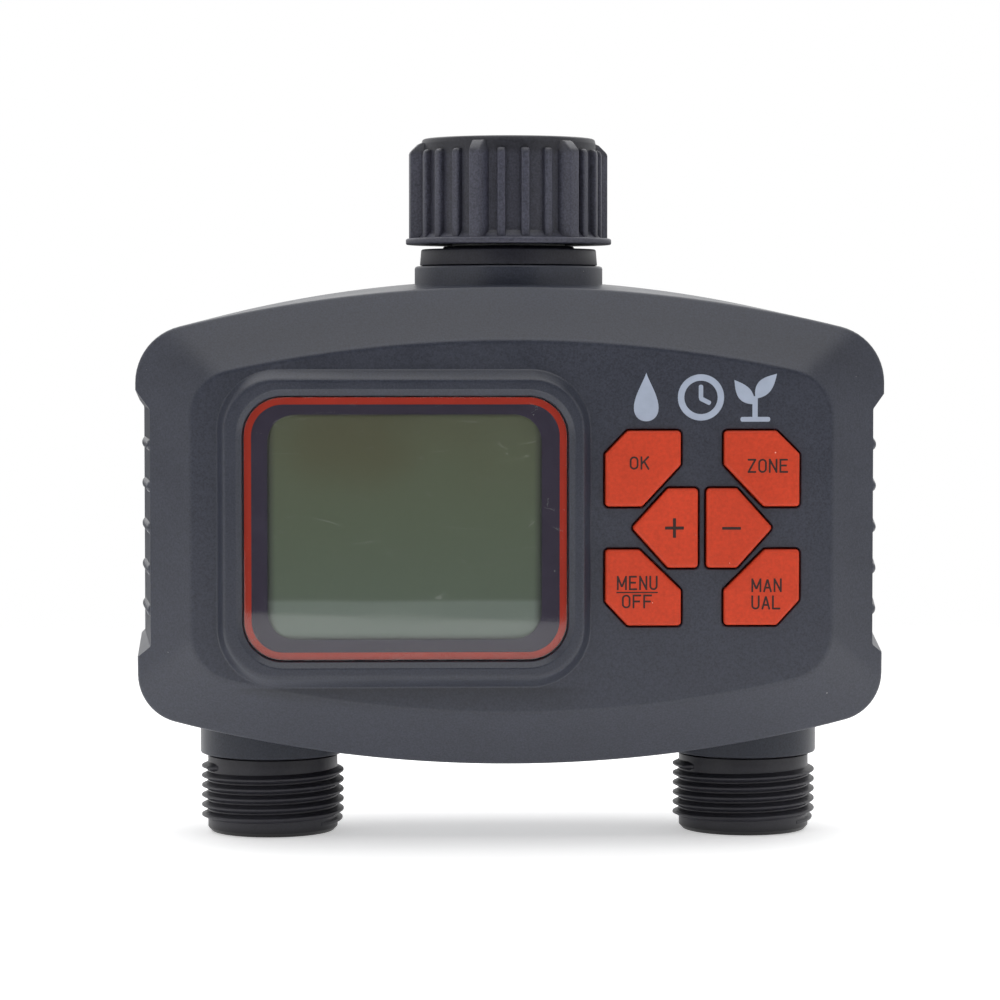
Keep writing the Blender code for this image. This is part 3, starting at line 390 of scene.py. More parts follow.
def cell_sleeve():
    """Plain shrink sleeve in two tones with a foil edge; ends are bare metal."""
    m = Nodes("cell_sleeve_two_tone")
    x = m.axis(0)
    cloud = m.noise(500.0, 3.0)
    tone = m.math("GREATER_THAN", x, 0.0095)
    ends = m.math("GREATER_THAN", m.math("ABSOLUTE", x), 0.0246)
    base = m.mix(tone, (0.018, 0.030, 0.075), (0.50, 0.34, 0.11))
    base = m.mix(m.span(cloud, 0.3, 0.7, 0.0, 0.25), base, (0.10, 0.10, 0.12))
    m.set("Base Color", m.mix(ends, base, (0.62, 0.60, 0.57)))
    m.set("Metallic", m.math("MAXIMUM", ends, m.math("MULTIPLY", tone, 0.6)))
    m.set("Roughness", m.span(cloud, 0.3, 0.7, 0.22, 0.34))
    m.set("Normal", m.bump(cloud, 0.1, 0.00004))
    return m.mat


def printed_mask():
    m = Nodes("printed_mask_ink")
    cloud = m.noise(90.0, 4.0)
    fine = m.noise(2500.0, 2.0)
    m.set("Base Color", m.mix(m.span(cloud, 0.3, 0.7, 0.0, 1.0), (0.033, 0.026, 0.047), (0.039, 0.031, 0.055)))
    m.set("Roughness", m.span(fine, 0.3, 0.7, 0.45, 0.6))
    m.set("Specular IOR Level", 0.2)
    m.set("Normal", m.bump(fine, 0.1, 0.00002))
    return m.mat


def border_ink():
    m = Nodes("border_ink_orange")
    cloud = m.noise(120.0, 4.0)
    fine = m.noise(2500.0, 2.0)
    m.set("Base Color", m.mix(m.span(cloud, 0.3, 0.7, 0.0, 1.0), (0.43, 0.030, 0.013), (0.49, 0.036, 0.017)))
    m.set("Roughness", m.span(fine, 0.3, 0.7, 0.4, 0.55))
    m.set("Specular IOR Level", 0.2)
    return m.mat


def lcd():
    """Grey-green liquid crystal glass, warmer high up on the left; painted light makes it paler low down, with a
    painted reflection along the bottom and painted shadow at the mask.
    """
    m = Nodes("lcd_glass_idle")
    x, z = m.axis(0), m.axis(2)
    lo, hi = (VIEW_Z - VIEW_HZ) * MM, (VIEW_Z + VIEW_HZ) * MM
    t = m.span(z, lo, hi, 0.0, 1.0)
    drift = m.math("MULTIPLY", m.math("SUBTRACT", m.noise(22.0, 2.0), 0.5), 0.12)
    # painted light and shade: the glass runs from paler low down to darker high up
    body = m.ramp(m.math("ADD", t, drift), [(0.0, (0.114, 0.140, 0.114)), (0.18, (0.112, 0.138, 0.106)), (0.5, (0.109, 0.131, 0.092)),
                                             (0.80, (0.110, 0.124, 0.083)), (1.0, (0.109, 0.118, 0.079))])
    warm = m.math("MULTIPLY", m.span(m.noise(26.0, 2.0), 0.45, 0.65, 0.0, 1.0, True), m.span(z, (VIEW_Z + 1) * MM, (VIEW_Z + 14) * MM, 0.0, 0.55, True))
    body = m.mix(warm, body, (0.098, 0.090, 0.055))
    # painted reflection: the glass is painted paler low down, as if mirroring pale ground, up to a soft level edge
    sheen = m.span(m.math("ADD", z, m.math("MULTIPLY", m.noise(30.0, 1.0), 0.0008)), 44.7 * MM, 45.7 * MM, 0.085, 0.0, True)
    body = m.mix(sheen, body, (0.80, 0.90, 0.92))
    # painted shadow of the mask along the edges of the view
    ex = m.math("SUBTRACT", VIEW_HX * MM, m.math("ABSOLUTE", m.math("SUBTRACT", x, VIEW_X * MM)))
    up = m.math("SUBTRACT", hi, z)
    down = m.math("SUBTRACT", z, lo)
    side = m.span(ex, -0.0002, 0.0017, 0.72, 0.0, True)
    roof = m.span(up, -0.0002, 0.0006, 0.6, 0.0, True)
    sill = m.span(down, -0.0003, 0.0013, 0.62, 0.0, True)
    shadow = m.math("MAXIMUM", side, m.math("MAXIMUM", roof, sill))
    fine = m.noise(1500.0, 2.0)
    m.set("Base Color", m.mix(shadow, body, (0.034, 0.032, 0.040)))
    m.set("Roughness", m.span(fine, 0.3, 0.7, 0.34, 0.40))
    m.set("Specular IOR Level", 0.10)
    return m.mat


def lens():
    """Clear acrylic: Fresnel-like gloss over what lies behind, with hairline scratches and lint."""
    m = Nodes("clear_lens_gloss")
    t = m.t
    out = t.nodes["Material Output"]
    b = m.b
    b.inputs["Base Color"].default_value = (1, 1, 1, 1)
    b.inputs["Metallic"].default_value = 1.0
    fine = m.noise(60.0, 3.0)
    m.set("Roughness", m.span(fine, 0.3, 0.7, 0.02, 0.045))
    clear = m.new("ShaderNodeBsdfTransparent")
    clear.inputs["Color"].default_value = (0.97, 0.975, 0.97, 1)
    w = m.new("ShaderNodeLayerWeight")
    w.inputs["Blend"].default_value = 0.5
    f = m.math("ADD", m.math("MULTIPLY", m.math("POWER", w.outputs["Facing"], 5.0), 0.95), 0.025)
    gloss = m.new("ShaderNodeMixShader")
    m.link(f, gloss.inputs[0])
    m.link(clear.outputs[0], gloss.inputs[1])
    m.link(b.outputs[0], gloss.inputs[2])
    dust = m.new("ShaderNodeBsdfDiffuse")
    dust.inputs["Color"].default_value = (0.75, 0.77, 0.75, 1)
    # hairlines: thin level lines of stretched, turned noise
    lines = None
    for k, (turn, sx, sz, lim) in enumerate(((0.5, 30.0, 190.0, 0.0035), (-0.35, 24.0, 160.0, 0.003), (1.1, 20.0, 150.0, 0.0025))):
        mp = m.new("ShaderNodeMapping")
        mp.inputs["Rotation"].default_value = (0, turn, 0)
        mp.inputs["Scale"].default_value = (sx, 1.0, sz)
        mp.inputs["Location"].default_value = (3.1 * k, 0, 1.7 * k)
        m.link(m.coord, mp.inputs["Vector"])
        n = m.noise(1.0, 0.0, coord=mp.outputs["Vector"])
        line = m.math("LESS_THAN", m.math("ABSOLUTE", m.math("SUBTRACT", n, 0.5)), lim)
        gate = m.math("GREATER_THAN", m.noise(160.0 + 30 * k, 2.0), 0.60)
        line = m.math("MULTIPLY", line, gate)
        lines = line if lines is None else m.math("MAXIMUM", lines, line)
    specks = m.spots(260.0, 0.035, 0.35)
    haze = m.math("ADD", m.math("MULTIPLY", lines, 0.06), m.math("MULTIPLY", specks, 0.22))
    top = m.new("ShaderNodeMixShader")
    m.link(haze, top.inputs[0])
    m.link(gloss.outputs[0], top.inputs[1])
    m.link(dust.outputs[0], top.inputs[2])
    m.link(top.outputs[0], out.inputs["Surface"])
    return m.mat


def ink(name, rgb):
    m = Nodes(name)
    fine = m.noise(2800.0, 2.0)
    cloud = m.noise(300.0, 3.0)
    m.set("Base Color", m.mix(m.span(cloud, 0.3, 0.7, 0.0, 1.0), shade(rgb, 0.93), shade(rgb, 1.07)))
    m.set("Roughness", m.span(fine, 0.3, 0.7, 0.5, 0.62))
    m.set("Specular IOR Level", 0.25)
    m.set("Normal", m.bump(fine, 0.2, 0.00002))
    return m.mat


COPPER, BOARD, FOAM, MESH, CELL = copper(), board(), foam(), strainer(), cell_sleeve()
MASK, BORDER, LCD, LENS = printed_mask(), border_ink(), lcd(), lens()
KEY_INK = ink("key_ink_black", (0.035, 0.018, 0.016))
MARK_INK = ink("mark_ink_pale", (0.36, 0.41, 0.51))


# ---- mesh helpers -----------------------------------------------------------------------
def unit(v):
    return v.normalized() if v.length > 1e-9 else v


def soft(points, r, n=4, closed=True, sharp=()):
    """The polyline with circular fillets of radius r at its corners."""
    out = []
    count = len(points)
    for i in range(count):
        b = Vector(points[i])
        if (not closed and i in (0, count - 1)) or i in sharp:
            out.append(tuple(b))
            continue
        a, c = Vector(points[i - 1]), Vector(points[(i + 1) % count])
        u, v = unit(a - b), unit(c - b)
        half = u.angle(v, math.pi) / 2
        if half > math.pi / 2 - 0.02:
            out.append(tuple(b))
            continue
        rr = r[i] if isinstance(r, (list, tuple)) else r
        d = min(rr / math.tan(half), 0.47 * (a - b).length, 0.47 * (c - b).length)
        w = math.sin(half)
        p, q = b + u * d, b + v * d
        for k in range(n + 1):
            t = k / n
            wa, wb, wc = (1 - t) ** 2, 2 * w * t * (1 - t), t * t
            out.append(tuple((p * wa + b * wb + q * wc) / (wa + wb + wc)))
    return out


def rect(x, z, hw, hh, r, n=8):
    return soft([(x - hw, z - hh), (x + hw, z - hh), (x + hw, z + hh), (x - hw, z + hh)], r, n)


def grown(points, d):
    out = []
    count = len(points)
    cx = sum(p[0] for p in points) / count
    cz = sum(p[1] for p in points) / count
    for i in range(count):
        a, b, c = (Vector(points[j % count]) for j in (i - 1, i, i + 1))
        n1 = Vector(((b - a).y, -(b - a).x)).normalized()
        n2 = Vector(((c - b).y, -(c - b).x)).normalized()
        if n1.dot(b - Vector((cx, cz))) < 0:
            n1, n2 = -n1, -n2
        m = (n1 + n2).normalized()
        out.append(tuple(b + m * (d / max(0.3, m.dot(n1)))))
    return out


def to_object(name, bm, mat=None, smooth=35.0):
    bmesh.ops.recalc_face_normals(bm, faces=bm.faces[:])
    me = bpy.data.meshes.new(name)
    bm.to_mesh(me)
    bm.free()
    obj = bpy.data.objects.new(name, me)
    scene.collection.objects.link(obj)
    if mat is not None:
        me.materials.append(mat)
        me.shade_smooth()
        me.set_sharp_from_angle(angle=math.radians(smooth))
    return obj


def skin(bm, loops, closed=True):
    for a, b in zip(loops, loops[1:]):
        n = len(a)
        for i in range(n if closed else n - 1):
            j = (i + 1) % n
            if a[i] is a[j] and b[i] is b[j]:
                continue
            face = [v for k, v in enumerate((a[i], a[j], b[j], b[i]))]
            seen = []
            for v in face:
                if v not in seen:
                    seen.append(v)
            if len(seen) > 2:
                bm.faces.new(seen)


def lofted(name, sections, mat=None, smooth=35.0, caps=True):
    """A solid through (outline in X and Z, y) sections."""
    bm = bmesh.new()
    loops = [[bm.verts.new((x * MM, y * MM, z * MM)) for x, z in pts] for pts, y in sections]
    skin(bm, loops)
    if caps:
        bm.faces.new(loops[0])
        bm.faces.new(loops[-1])
    return to_object(name, bm, mat, smooth)


def lathe(name, profile, at=(0, 0), segs=96, mat=None, smooth=35.0, turn=0.0, sy=1.0, axis="Z", base=(0, 0, 0)):
    """A solid of revolution from (radius, height) points; closed unless it starts on the axis."""
    bm = bmesh.new()
    loops = []
    for r, h in profile:
        if r < 1e-6:
            v = bm.verts.new((0, 0, h * MM))
            loops.append([v] * segs)
        else:
            loops.append([bm.verts.new((r * MM * math.cos(2 * math.pi * k / segs + turn), r * MM * math.sin(2 * math.pi * k / segs + turn), h * MM))
                          for k in range(segs)])
    if profile[0][0] > 1e-6:
        loops.append(loops[0])
    skin(bm, loops)
    if axis == "Y":
        bmesh.ops.transform(bm, matrix=Matrix.Rotation(math.radians(-90), 4, "X"), verts=bm.verts[:])
    elif axis == "X":
        bmesh.ops.transform(bm, matrix=Matrix.Rotation(math.radians(90), 4, "Y"), verts=bm.verts[:])
    bmesh.ops.translate(bm, verts=bm.verts[:], vec=((at[0] + base[0]) * MM, (at[1] + base[1]) * MM, base[2] * MM))
    return to_object(name, bm, mat, smooth)


def block(name, lo, hi, mat=None, r=0.0):
    bm = bmesh.new()
    bmesh.ops.create_cube(bm, size=1.0)
    size = [(h - l) * MM for l, h in zip(lo, hi)]
    mid = [(h + l) / 2 * MM for l, h in zip(lo, hi)]
    bmesh.ops.transform(bm, matrix=Matrix.Translation(mid) @ Matrix.Diagonal((*size, 1)), verts=bm.verts[:])
    if r:
        bmesh.ops.bevel(bm, geom=bm.edges[:], offset=r * MM, segments=3, profile=0.5, affect="EDGES")
    return to_object(name, bm, mat)


def bake(obj):
    bpy.context.view_layer.update()
    deps = bpy.context.evaluated_depsgraph_get()
    me = bpy.data.meshes.new_from_object(obj.evaluated_get(deps), depsgraph=deps)
    old = obj.data
    obj.modifiers.clear()
    obj.data = me
    bpy.data.meshes.remove(old)
    return obj


def tidy(obj):
    bm = bmesh.new()
    bm.from_mesh(obj.data)
    bmesh.ops.remove_doubles(bm, verts=bm.verts[:], dist=0.000002)
    bmesh.ops.dissolve_degenerate(bm, dist=0.000001, edges=bm.edges[:])
    bm.to_mesh(obj.data)
    bm.free()


def combine(obj, other, how="DIFFERENCE"):
    m = obj.modifiers.new("combine", "BOOLEAN")
    m.operation = how
    m.solver = "MANIFOLD"
    m.object = other
    bake(obj)
    tidy(obj)
    bpy.data.objects.remove(other, do_unlink=True)
    return obj


def joined(objs):
    """Several separate solids as one mesh."""
    first = objs[0]
    bm = bmesh.new()
    for o in objs:
        o.data.transform(o.matrix_world)
        bm.from_mesh(o.data)
    bm.to_mesh(first.data)
    bm.free()
    for o in objs[1:]:
        bpy.data.objects.remove(o, do_unlink=True)
    return first


def dressed(obj, mat, smooth=32.0, bevel=0.0, limit=38.0):
    """Material, soft edges, and normals weighted by face size."""
    obj.data.materials.clear()
    obj.data.materials.append(mat)
    if bevel:
        b = obj.modifiers.new("edges", "BEVEL")
        b.width = bevel * MM
        b.segments = 2
        b.limit_method = "ANGLE"
        b.angle_limit = math.radians(limit)
        b.use_clamp_overlap = True
        b.miter_outer = "MITER_ARC"
        bake(obj)
    obj.data.shade_smooth()
    obj.data.set_sharp_from_angle(angle=math.radians(smooth))
    w = obj.modifiers.new("normals", "WEIGHTED_NORMAL")
    w.keep_sharp = True
    w.weight = 60
    return obj


def outline(shape, inset=0.0, arc=40, corner=12):
    """Pillow outline: arched top and bottom, rounded corners, sides drawn in a little towards the bottom."""
    hx, top, bottom, r, rb, ct, cb, shift = shape
    hx, top, bottom, r, rb = hx - inset, top - inset, bottom + inset, r - inset, rb - inset
    pts = []

    def sweep(x, z, rad, a0, a1, n, skip_first=False):
        for i in range(1 if skip_first else 0, n + 1):
            a = a0 + (a1 - a0) * i / n
            pts.append((x + rad * math.sin(a), z + rad * math.cos(a)))

    rc = max(ct - inset, 1.5)
    cx = hx - rc
    rise = math.sqrt((r - rc) ** 2 - cx ** 2)
    lean = math.asin(cx / (r - rc))
    sweep(cx, top - r + rise, rc, math.pi / 2, lean, corner)
    sweep(0, top - r, r, lean, -lean, arc, True)
    sweep(-cx, top - r + rise, rc, -lean, -math.pi / 2, corner, True)
    rc = max(cb - inset, 1.5)
    cx = hx - rc
    rise = math.sqrt((rb - rc) ** 2 - cx ** 2)
    lean = math.asin(cx / (rb - rc))
    sweep(-cx, bottom + rb - rise, rc, -math.pi / 2, -math.pi + lean, corner)
    sweep(0, bottom + rb, rb, -math.pi + lean, -math.pi - lean, arc, True)
    sweep(cx, bottom + rb - rise, rc, -math.pi - lean, -3 * math.pi / 2, corner, True)
    return [(x * (1 - 0.000068 * max(0.0, 84.0 - z)) + shift, z) for x, z in pts]


def mixed(a, b, t):
    return tuple(p + (q - p) * t for p, q in zip(a, b))


def corner_curve(p0, p1, p2, w, n):
    """A rounded corner between sections given as (shape, inset, y)."""
    out = []
    for k in range(n + 1):
        t = k / n
        wa, wb, wc = (1 - t) ** 2, 2 * w * t * (1 - t), t * t
        s = wa + wb + wc
        out.append(tuple((a * wa + b * wb + c * wc) / s for a, b, c in zip(p0, p1, p2)))
    return out


def housing_shell(name, sign, edge_y, face_y, wall):
    def at(shape, inset, y):
        return (*shape, inset, y)

    def band(s):
        g = 0.88 * s + 0.12 * s * s
        return at(mixed(EDGE, PLATEAU, s), 0.0, edge_y + (face_y - edge_y) * g)

    def side(y):
        return at(mixed(PARTING, EDGE, y / abs(edge_y)), 0.0, sign * y)

    rows = [(*mixed(PARTING, EDGE, PARTING_GAP / abs(edge_y)), 0.30, sign * PARTING_GAP), side(0.42), side(4.0), side(9.0), side(14.0), side(19.0)]
    rows += corner_curve(side(abs(edge_y) - 0.45), at(EDGE, 0.0, edge_y), band(0.05), 0.88, 4)
    rows += [band(s) for s in (0.14, 0.28, 0.42, 0.56, 0.70, 0.82, 0.90)]
    rows += corner_curve(band(0.965), at(PLATEAU, 0.0, face_y), at(PLATEAU, 0.55, face_y), 0.9, 4)
    outer = [(outline(r[:8], r[8]), r[9]) for r in rows]
    inner = [(outline(PARTING, WALL), sign * PARTING_GAP), (outline(EDGE, WALL + 0.2), edge_y - sign * 1.4), (outline(PLATEAU, 0.8), face_y - sign * wall)]
    bm = bmesh.new()
    lo = [[bm.verts.new((x * MM, y * MM, z * MM)) for x, z in pts] for pts, y in outer]
    li = [[bm.verts.new((x * MM, y * MM, z * MM)) for x, z in pts] for pts, y in inner]
    skin(bm, lo)
    skin(bm, li)
    skin(bm, [lo[0], li[0]])
    bm.faces.new(lo[-1])
    bm.faces.new(li[-1])
    return to_object(name, bm)


def floor_x(y):
    """Half width of the grip recess's floor at a distance y from the parting."""
    return 67.6 - 0.1115 * y


def grip_cut(side, side_sign):
    """Recess in the flank; its lower end ramps out long at the parting and short at the front."""
    far = 76.0
    bm = bmesh.new()
    loops = []
    for y in (-2.0, 24.3, 40.0):
        floor = floor_x(y)
        end = 37.56 - 0.0444 * min(y, 24.3)
        low = -11.5 + 38.0 / 24.3 * min(y, 24.3)
        high = GRIP_Z1 - GRIP_CHAMFER
        pts = soft([(floor, end), (far, low), (far, high + GRIP_CHAMFER / GRIP_DEPTH * (far - floor)), (floor, high)], [0.7, 0, 0, 0.7], 4, sharp=(1, 2))
        loops.append([bm.verts.new((side * x * MM, y * side_sign * MM, z * MM)) for x, z in pts])
    skin(bm, loops)
    bm.faces.new(loops[0])
    bm.faces.new(loops[-1])
    bmesh.ops.triangulate(bm, faces=bm.faces[:])
    return to_object("grip_cut", bm)


def grip_ribs(side, sign, y_end):
    """Rounded bars on the recess floor; each swells from nothing and ends in a quarter round."""
    bm = bmesh.new()
    for z in GRIP_RIBS_Z:
        loops = []
        for y, k in ((3.6, 0.30), (3.9, 0.75), (4.6, 1.0), (12.0, 1.0), (y_end - 1.6, 1.0), (y_end - 0.7, 0.93), (y_end - 0.25, 0.72), (y_end, 0.40)):
            floor = floor_x(y)
            ring = []
            for j in range(11):
                a = math.radians(-90 + 18 * j)
                ring.append((floor - 0.5 + 1.08 * k * math.cos(a) ** 0.8 if j not in (0, 10) else floor - 0.5, z + 1.12 * (0.6 + 0.4 * k) * math.sin(a)))
            ring += [(floor - 1.3, z + 0.9), (floor - 1.3, z - 0.9)]
            loops.append([bm.verts.new((side * x * MM, sign * y * MM, h * MM)) for x, h in ring])
        skin(bm, loops)
        bm.faces.new(loops[0])
        bm.faces.new(loops[-1])
    return to_object("grip_ribs", bm)


def half_turned(profile, x, sign, segs=96):
    c = lathe("half", profile, at=(x, 0), segs=segs, turn=math.pi / segs)
    if sign < 0:
        cut = block("away", (x - 30, -PARTING_GAP, -10), (x + 30, 40, 140))
    else:
        cut = block("away", (x - 30, -40, -10), (x + 30, PARTING_GAP, 140))
    return combine(c, cut)


def dress_sides(body, sign):
    """The neck, the outlet bosses, their bores and the ribbed grips, on either shell."""
    combine(body, half_turned([(0, NECK_Z), (NECK_R - 0.5, NECK_Z), (NECK_R - 0.15, NECK_Z - 0.12), (NECK_R, NECK_Z - 0.45), (NECK_R, 94.0), (0, 94.0)], 0, sign), "UNION")
    for x in (OUTLET_X, -OUTLET_X):
        combine(body, half_turned([(0, 27.0), (BOSS_R, 27.0), (BOSS_R, 14.9), (BOSS_R - 0.12, 14.62), (BOSS_R - 0.4, 14.5), (0, 14.5)], x, sign), "UNION")
        combine(body, lathe("bore", [(0, 30), (ROOT + 0.4, 30), (ROOT + 0.4, 10), (0, 10)], at=(x, 0), segs=64))
    combine(body, lathe("bore", [(0, 110), (10.9, 110), (10.9, 90), (0, 90)], segs=64))
    for flank in (1, -1):
        combine(body, grip_cut(flank, sign))
        combine(body, grip_ribs(flank, sign, 23.6), "UNION")


def boss_finish(body):
    """The outlet bosses are a little duller than the rest of the shell."""
    body.data.materials.append(SHELL_BOSS)
    for f in body.data.polygons:
        c = f.center / MM
        if c.z < 27 and abs(f.normal.z) < 0.8:
            if abs(math.hypot(abs(c.x) - OUTLET_X, c.y) - BOSS_R) < 0.45:
                f.material_index = 1


# ---- front shell ------------------------------------------------------------------------
front = housing_shell("front_shell", -1, FRONT_EDGE_Y, FRONT_Y, FRONT_WALL)
dress_sides(front, -1)

hw, hh = RIDGE_HALF
ridge = []
for gx, gz, y in ((0.75, 0.60, FRONT_Y + 0.35), (0.42, 0.32, FRONT_Y + 0.01), (0.24, 0.13, FRONT_Y - 0.05), (0.10, -0.03, FRONT_Y - 0.16), (-0.02, -0.18, FRONT_Y - 0.34),
                  (-0.74, -1.18, RIDGE_Y + 0.62), (-0.93, -1.40, RIDGE_Y + 0.30), (-1.14, -1.64, RIDGE_Y + 0.10), (-1.42, -1.94, RIDGE_Y), (-1.9, -2.4, RIDGE_Y)):
    ridge.append((rect(PANE_X - 0.29, DZ, hw + gx, hh + gz, RIDGE_R + (gx + gz) / 2, 12), y))
combine(front, lofted("ridge", ridge), "UNION")
hw, hh = WINDOW_HALF
well = []
for grow, y in ((3.0, RIDGE_Y - 1.0), (1.62, RIDGE_Y - 0.02), (1.30, RIDGE_Y + 0.015), (1.12, RIDGE_Y + 0.10), (0.98, RIDGE_Y + 0.28), (0.42, WINDOW_Y0 - 0.22),
                (0.24, WINDOW_Y0 - 0.06), (0.18, WINDOW_Y0 + 0.1), (0.18, WINDOW_Y1 + 0.75)):
    well.append((rect(PANE_X, DZ, PANE_HW + grow, hh + grow, WINDOW_R + grow, 12), y))
combine(front, lofted("well", well))
combine(front, lofted("lcd_opening", [(rect(DX, DZ, LCD_HALF[0] + 0.3, LCD_HALF[1] + 0.3, 1.5), -31), (rect(DX, DZ, LCD_HALF[0] + 0.3, LCD_HALF[1] + 0.3, 1.5), -20)]))
for name, pts in KEYS.items():
    hole = [(soft(grown(pts, g), 0.9, 5), y) for g, y in ((0.75, FRONT_Y - 0.8), (0.50, FRONT_Y - 0.02), (0.36, FRONT_Y + 0.05), (0.26, FRONT_Y + 0.2), (0.22, FRONT_Y + 0.45), (0.22, -20.0))]
    combine(front, lofted("key_hole", hole))
dressed(front, SHELL, bevel=0.22)
boss_finish(front)
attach(front, "root")
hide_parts("front_housing")

# ---- rear shell -------------------------------------------------------------------------
rear = housing_shell("rear_shell", 1, REAR_EDGE_Y, REAR_Y, WALL)
dress_sides(rear, 1)
for x, z, r in SCREWS:
    combine(rear, lathe("post", [(0, 26.0 if z > 60 else 25.5), (r, 26.0 if z > 60 else 25.5), (r, 12.0), (0, 12.0)], axis="Y", base=(x, 0, z), segs=40), "UNION")
for x, z, r in SCREWS:
    combine(rear, lathe("recess", [(0, 40.0), (3.0, 40.0), (3.0, 14.0), (1.8, 13.9), (1.8, 6.0), (0, 6.0)], axis="Y", base=(x, 0, z), segs=36, turn=0.037))
dw, dz0, dz1 = DOOR
combine(rear, lathe("door_screw_boss", [(0, 29.6), (5.0, 29.6), (5.0, 19.0), (0, 19.0)], axis="Y", base=(0, 0, DOOR_SCREW_Z), segs=48), "UNION")


def door_rect(d, r):
    return soft([(-dw - d, dz0 - d), (dw + d, dz0 - d), (dw + d, dz1 + d), (-dw - d, dz1 + d)], r, 8)


combine(rear, lofted("door_pocket", [(door_rect(0.30, 4.3), 30.1), (door_rect(0.30, 4.3), 30.95), (door_rect(0.42, 4.42), 31.12), (door_rect(0.70, 4.7), 31.22), (door_rect(2.0, 6.0), 33.0)]))
combine(rear, lofted("bay_opening", [(soft([(-BAY_X + 1, BAY_Z0 + 1), (BAY_X - 1, BAY_Z0 + 1), (BAY_X - 1, BAY_Z1 - 1), (-BAY_X + 1, BAY_Z1 - 1)], 2.0, 5), y) for y in (24, 36)]))
combine(rear, lathe("door_screw_bore", [(0, 36.0), (2.3, 36.0), (2.3, 20.8), (0, 20.8)], axis="Y", base=(0, 0, DOOR_SCREW_Z), segs=40))
dressed(rear, SHELL_REAR, bevel=0.2)
boss_finish(rear)
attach(rear, "root")
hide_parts("rear_housing")

# ---- display ----------------------------------------------------------------------------
hw, hh = WINDOW_HALF
win = lofted("window_pane", [(rect(PANE_X, DZ, PANE_HW + g, hh + g, WINDOW_R + g, 12), y) for g, y in
                             ((-0.55, WINDOW_Y0), (-0.42, WINDOW_Y0), (-0.2, WINDOW_Y0 + 0.03), (-0.06, WINDOW_Y0 + 0.12), (0.0, WINDOW_Y0 + 0.3), (0.0, WINDOW_Y1))], LENS)
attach(win, "root")
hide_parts("display_window")


def frame_plate(name, outer, inner, y0, y1, mat):
    """A flat frame between two outlines with the same number of points."""
    bm = bmesh.new()
    loops = []
    for pts, y in ((outer, y0), (outer, y1), (inner, y1), (inner, y0)):
        loops.append([bm.verts.new((x * MM, y * MM, z * MM)) for x, z in pts])
    loops.append(loops[0])
    skin(bm, loops)
    return to_object(name, bm, mat)


mask = frame_plate("mask_film", rect(PANE_X, DZ, PANE_HW - 0.1, hh - 0.1, WINDOW_R - 0.1, 12), rect(VIEW_X, VIEW_Z, VIEW_HX, VIEW_HZ, VIEW_R, 12), -29.85, -29.65, MASK)
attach(mask, "root")
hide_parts("display_mask")
border = frame_plate("mask_border_line", rect(PANE_X, DZ, PANE_HW - 0.12, hh - 0.12, WINDOW_R - 0.12, 12), rect(PANE_X, DZ, PANE_HW - 1.36, hh - 1.36, WINDOW_R - 1.36, 12), -29.93, -29.86, BORDER)
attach(border, "root")
panel = lofted("lcd_cell", [(rect(DX, DZ, LCD_HALF[0] + g, LCD_HALF[1] + g, 1.2 + g, 5), y) for g, y in ((-0.2, -29.35), (0.0, -29.15), (0.0, -28.3), (-0.15, -28.25), (-0.15, -28.15), (0.0, -28.1), (0.0, -27.2))], LCD)
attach(panel, "root")
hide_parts("lcd_panel")

# ---- keys -------------------------------------------------------------------------------
for name, pts in KEYS.items():
    rows = [(soft(grown(pts, g), 0.65 if g > -0.3 else 0.5, 6), y) for g, y in (
        (0.4, -26.6), (0.4, -27.1), (0.02, -27.12), (0.0, -27.4), (-0.02, KEY_FRONT_Y + 0.62), (-0.06, KEY_FRONT_Y + 0.36), (-0.16, KEY_FRONT_Y + 0.16),
        (-0.32, KEY_FRONT_Y + 0.045), (-0.52, KEY_FRONT_Y + 0.005), (-0.8, KEY_FRONT_Y))]
    cap = lofted("cap_" + name[7:], rows, ORANGE)
    dressed(cap, ORANGE, smooth=40)
    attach(cap, "key_" + name[7:])
    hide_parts(name)


def plate(name, outlines, y, mat, body, thick=0.03, holes=()):
    """Printed artwork: thin flat shapes standing a hair proud of a face at y."""
    bm = bmesh.new()
    for pts in outlines:
        a = [bm.verts.new((x * MM, (y - thick) * MM, z * MM)) for x, z in pts]
        b = [bm.verts.new((x * MM, (y + 0.02) * MM, z * MM)) for x, z in pts]
        skin(bm, [a, b])
        bm.faces.new(a)
        bm.faces.new(b)
    obj = to_object(name, bm, mat)
    for o in holes:
        combine(obj, lofted("h", [(o, y - 1), (o, y + 1)]))
    if holes:
        obj.data.materials.clear()
        obj.data.materials.append(mat)
    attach(obj, body)
    return obj


def bar(x0, z0, x1, z1, w, r=0.08):
    """A straight stroke."""
    a, b = Vector((x0, z0)), Vector((x1, z1))
    d = (b - a).normalized() * (w / 2)
    n = Vector((-d.y, d.x))
    return soft([tuple(a - n), tuple(b - n), tuple(b + n), tuple(a + n)], r, 2)


def arc_stroke(x, z, r, a0, a1, w, n=24, rz=None):
    rz = rz or r
    out = []
    for k in range(n + 1):
        a = math.radians(a0 + (a1 - a0) * k / n)
        out.append((x + (r + w / 2) * math.cos(a), z + (rz + w / 2) * math.sin(a)))
    for k in range(n, -1, -1):
        a = math.radians(a0 + (a1 - a0) * k / n)
        out.append((x + (r - w / 2) * math.cos(a), z + (rz - w / 2) * math.sin(a)))
    return out


def ring_strokes(x, z, r, w, rz=None):
    return [arc_stroke(x, z, r, 0, 180, w, rz=rz), arc_stroke(x, z, r, 180, 360, w, rz=rz)]


def digit(ch, x, z, w, h, s):
    """Plain numerals from strokes; x, z is the lower left corner."""
    if ch == "1":
        return [bar(x + w * 0.62, z, x + w * 0.62, z + h, s), bar(x + w * 0.62, z + h - s * 0.4, x + w * 0.12, z + h * 0.74, s)]
    return [arc_stroke(x + w / 2, z + h - w / 2, w / 2 - s / 2, 175, -45, s, 16), bar(x + w * 0.80, z + h - w * 0.82, x + w * 0.08, z + s * 0.5, s),
            bar(x, z + s / 2, x + w, z + s / 2, s)]


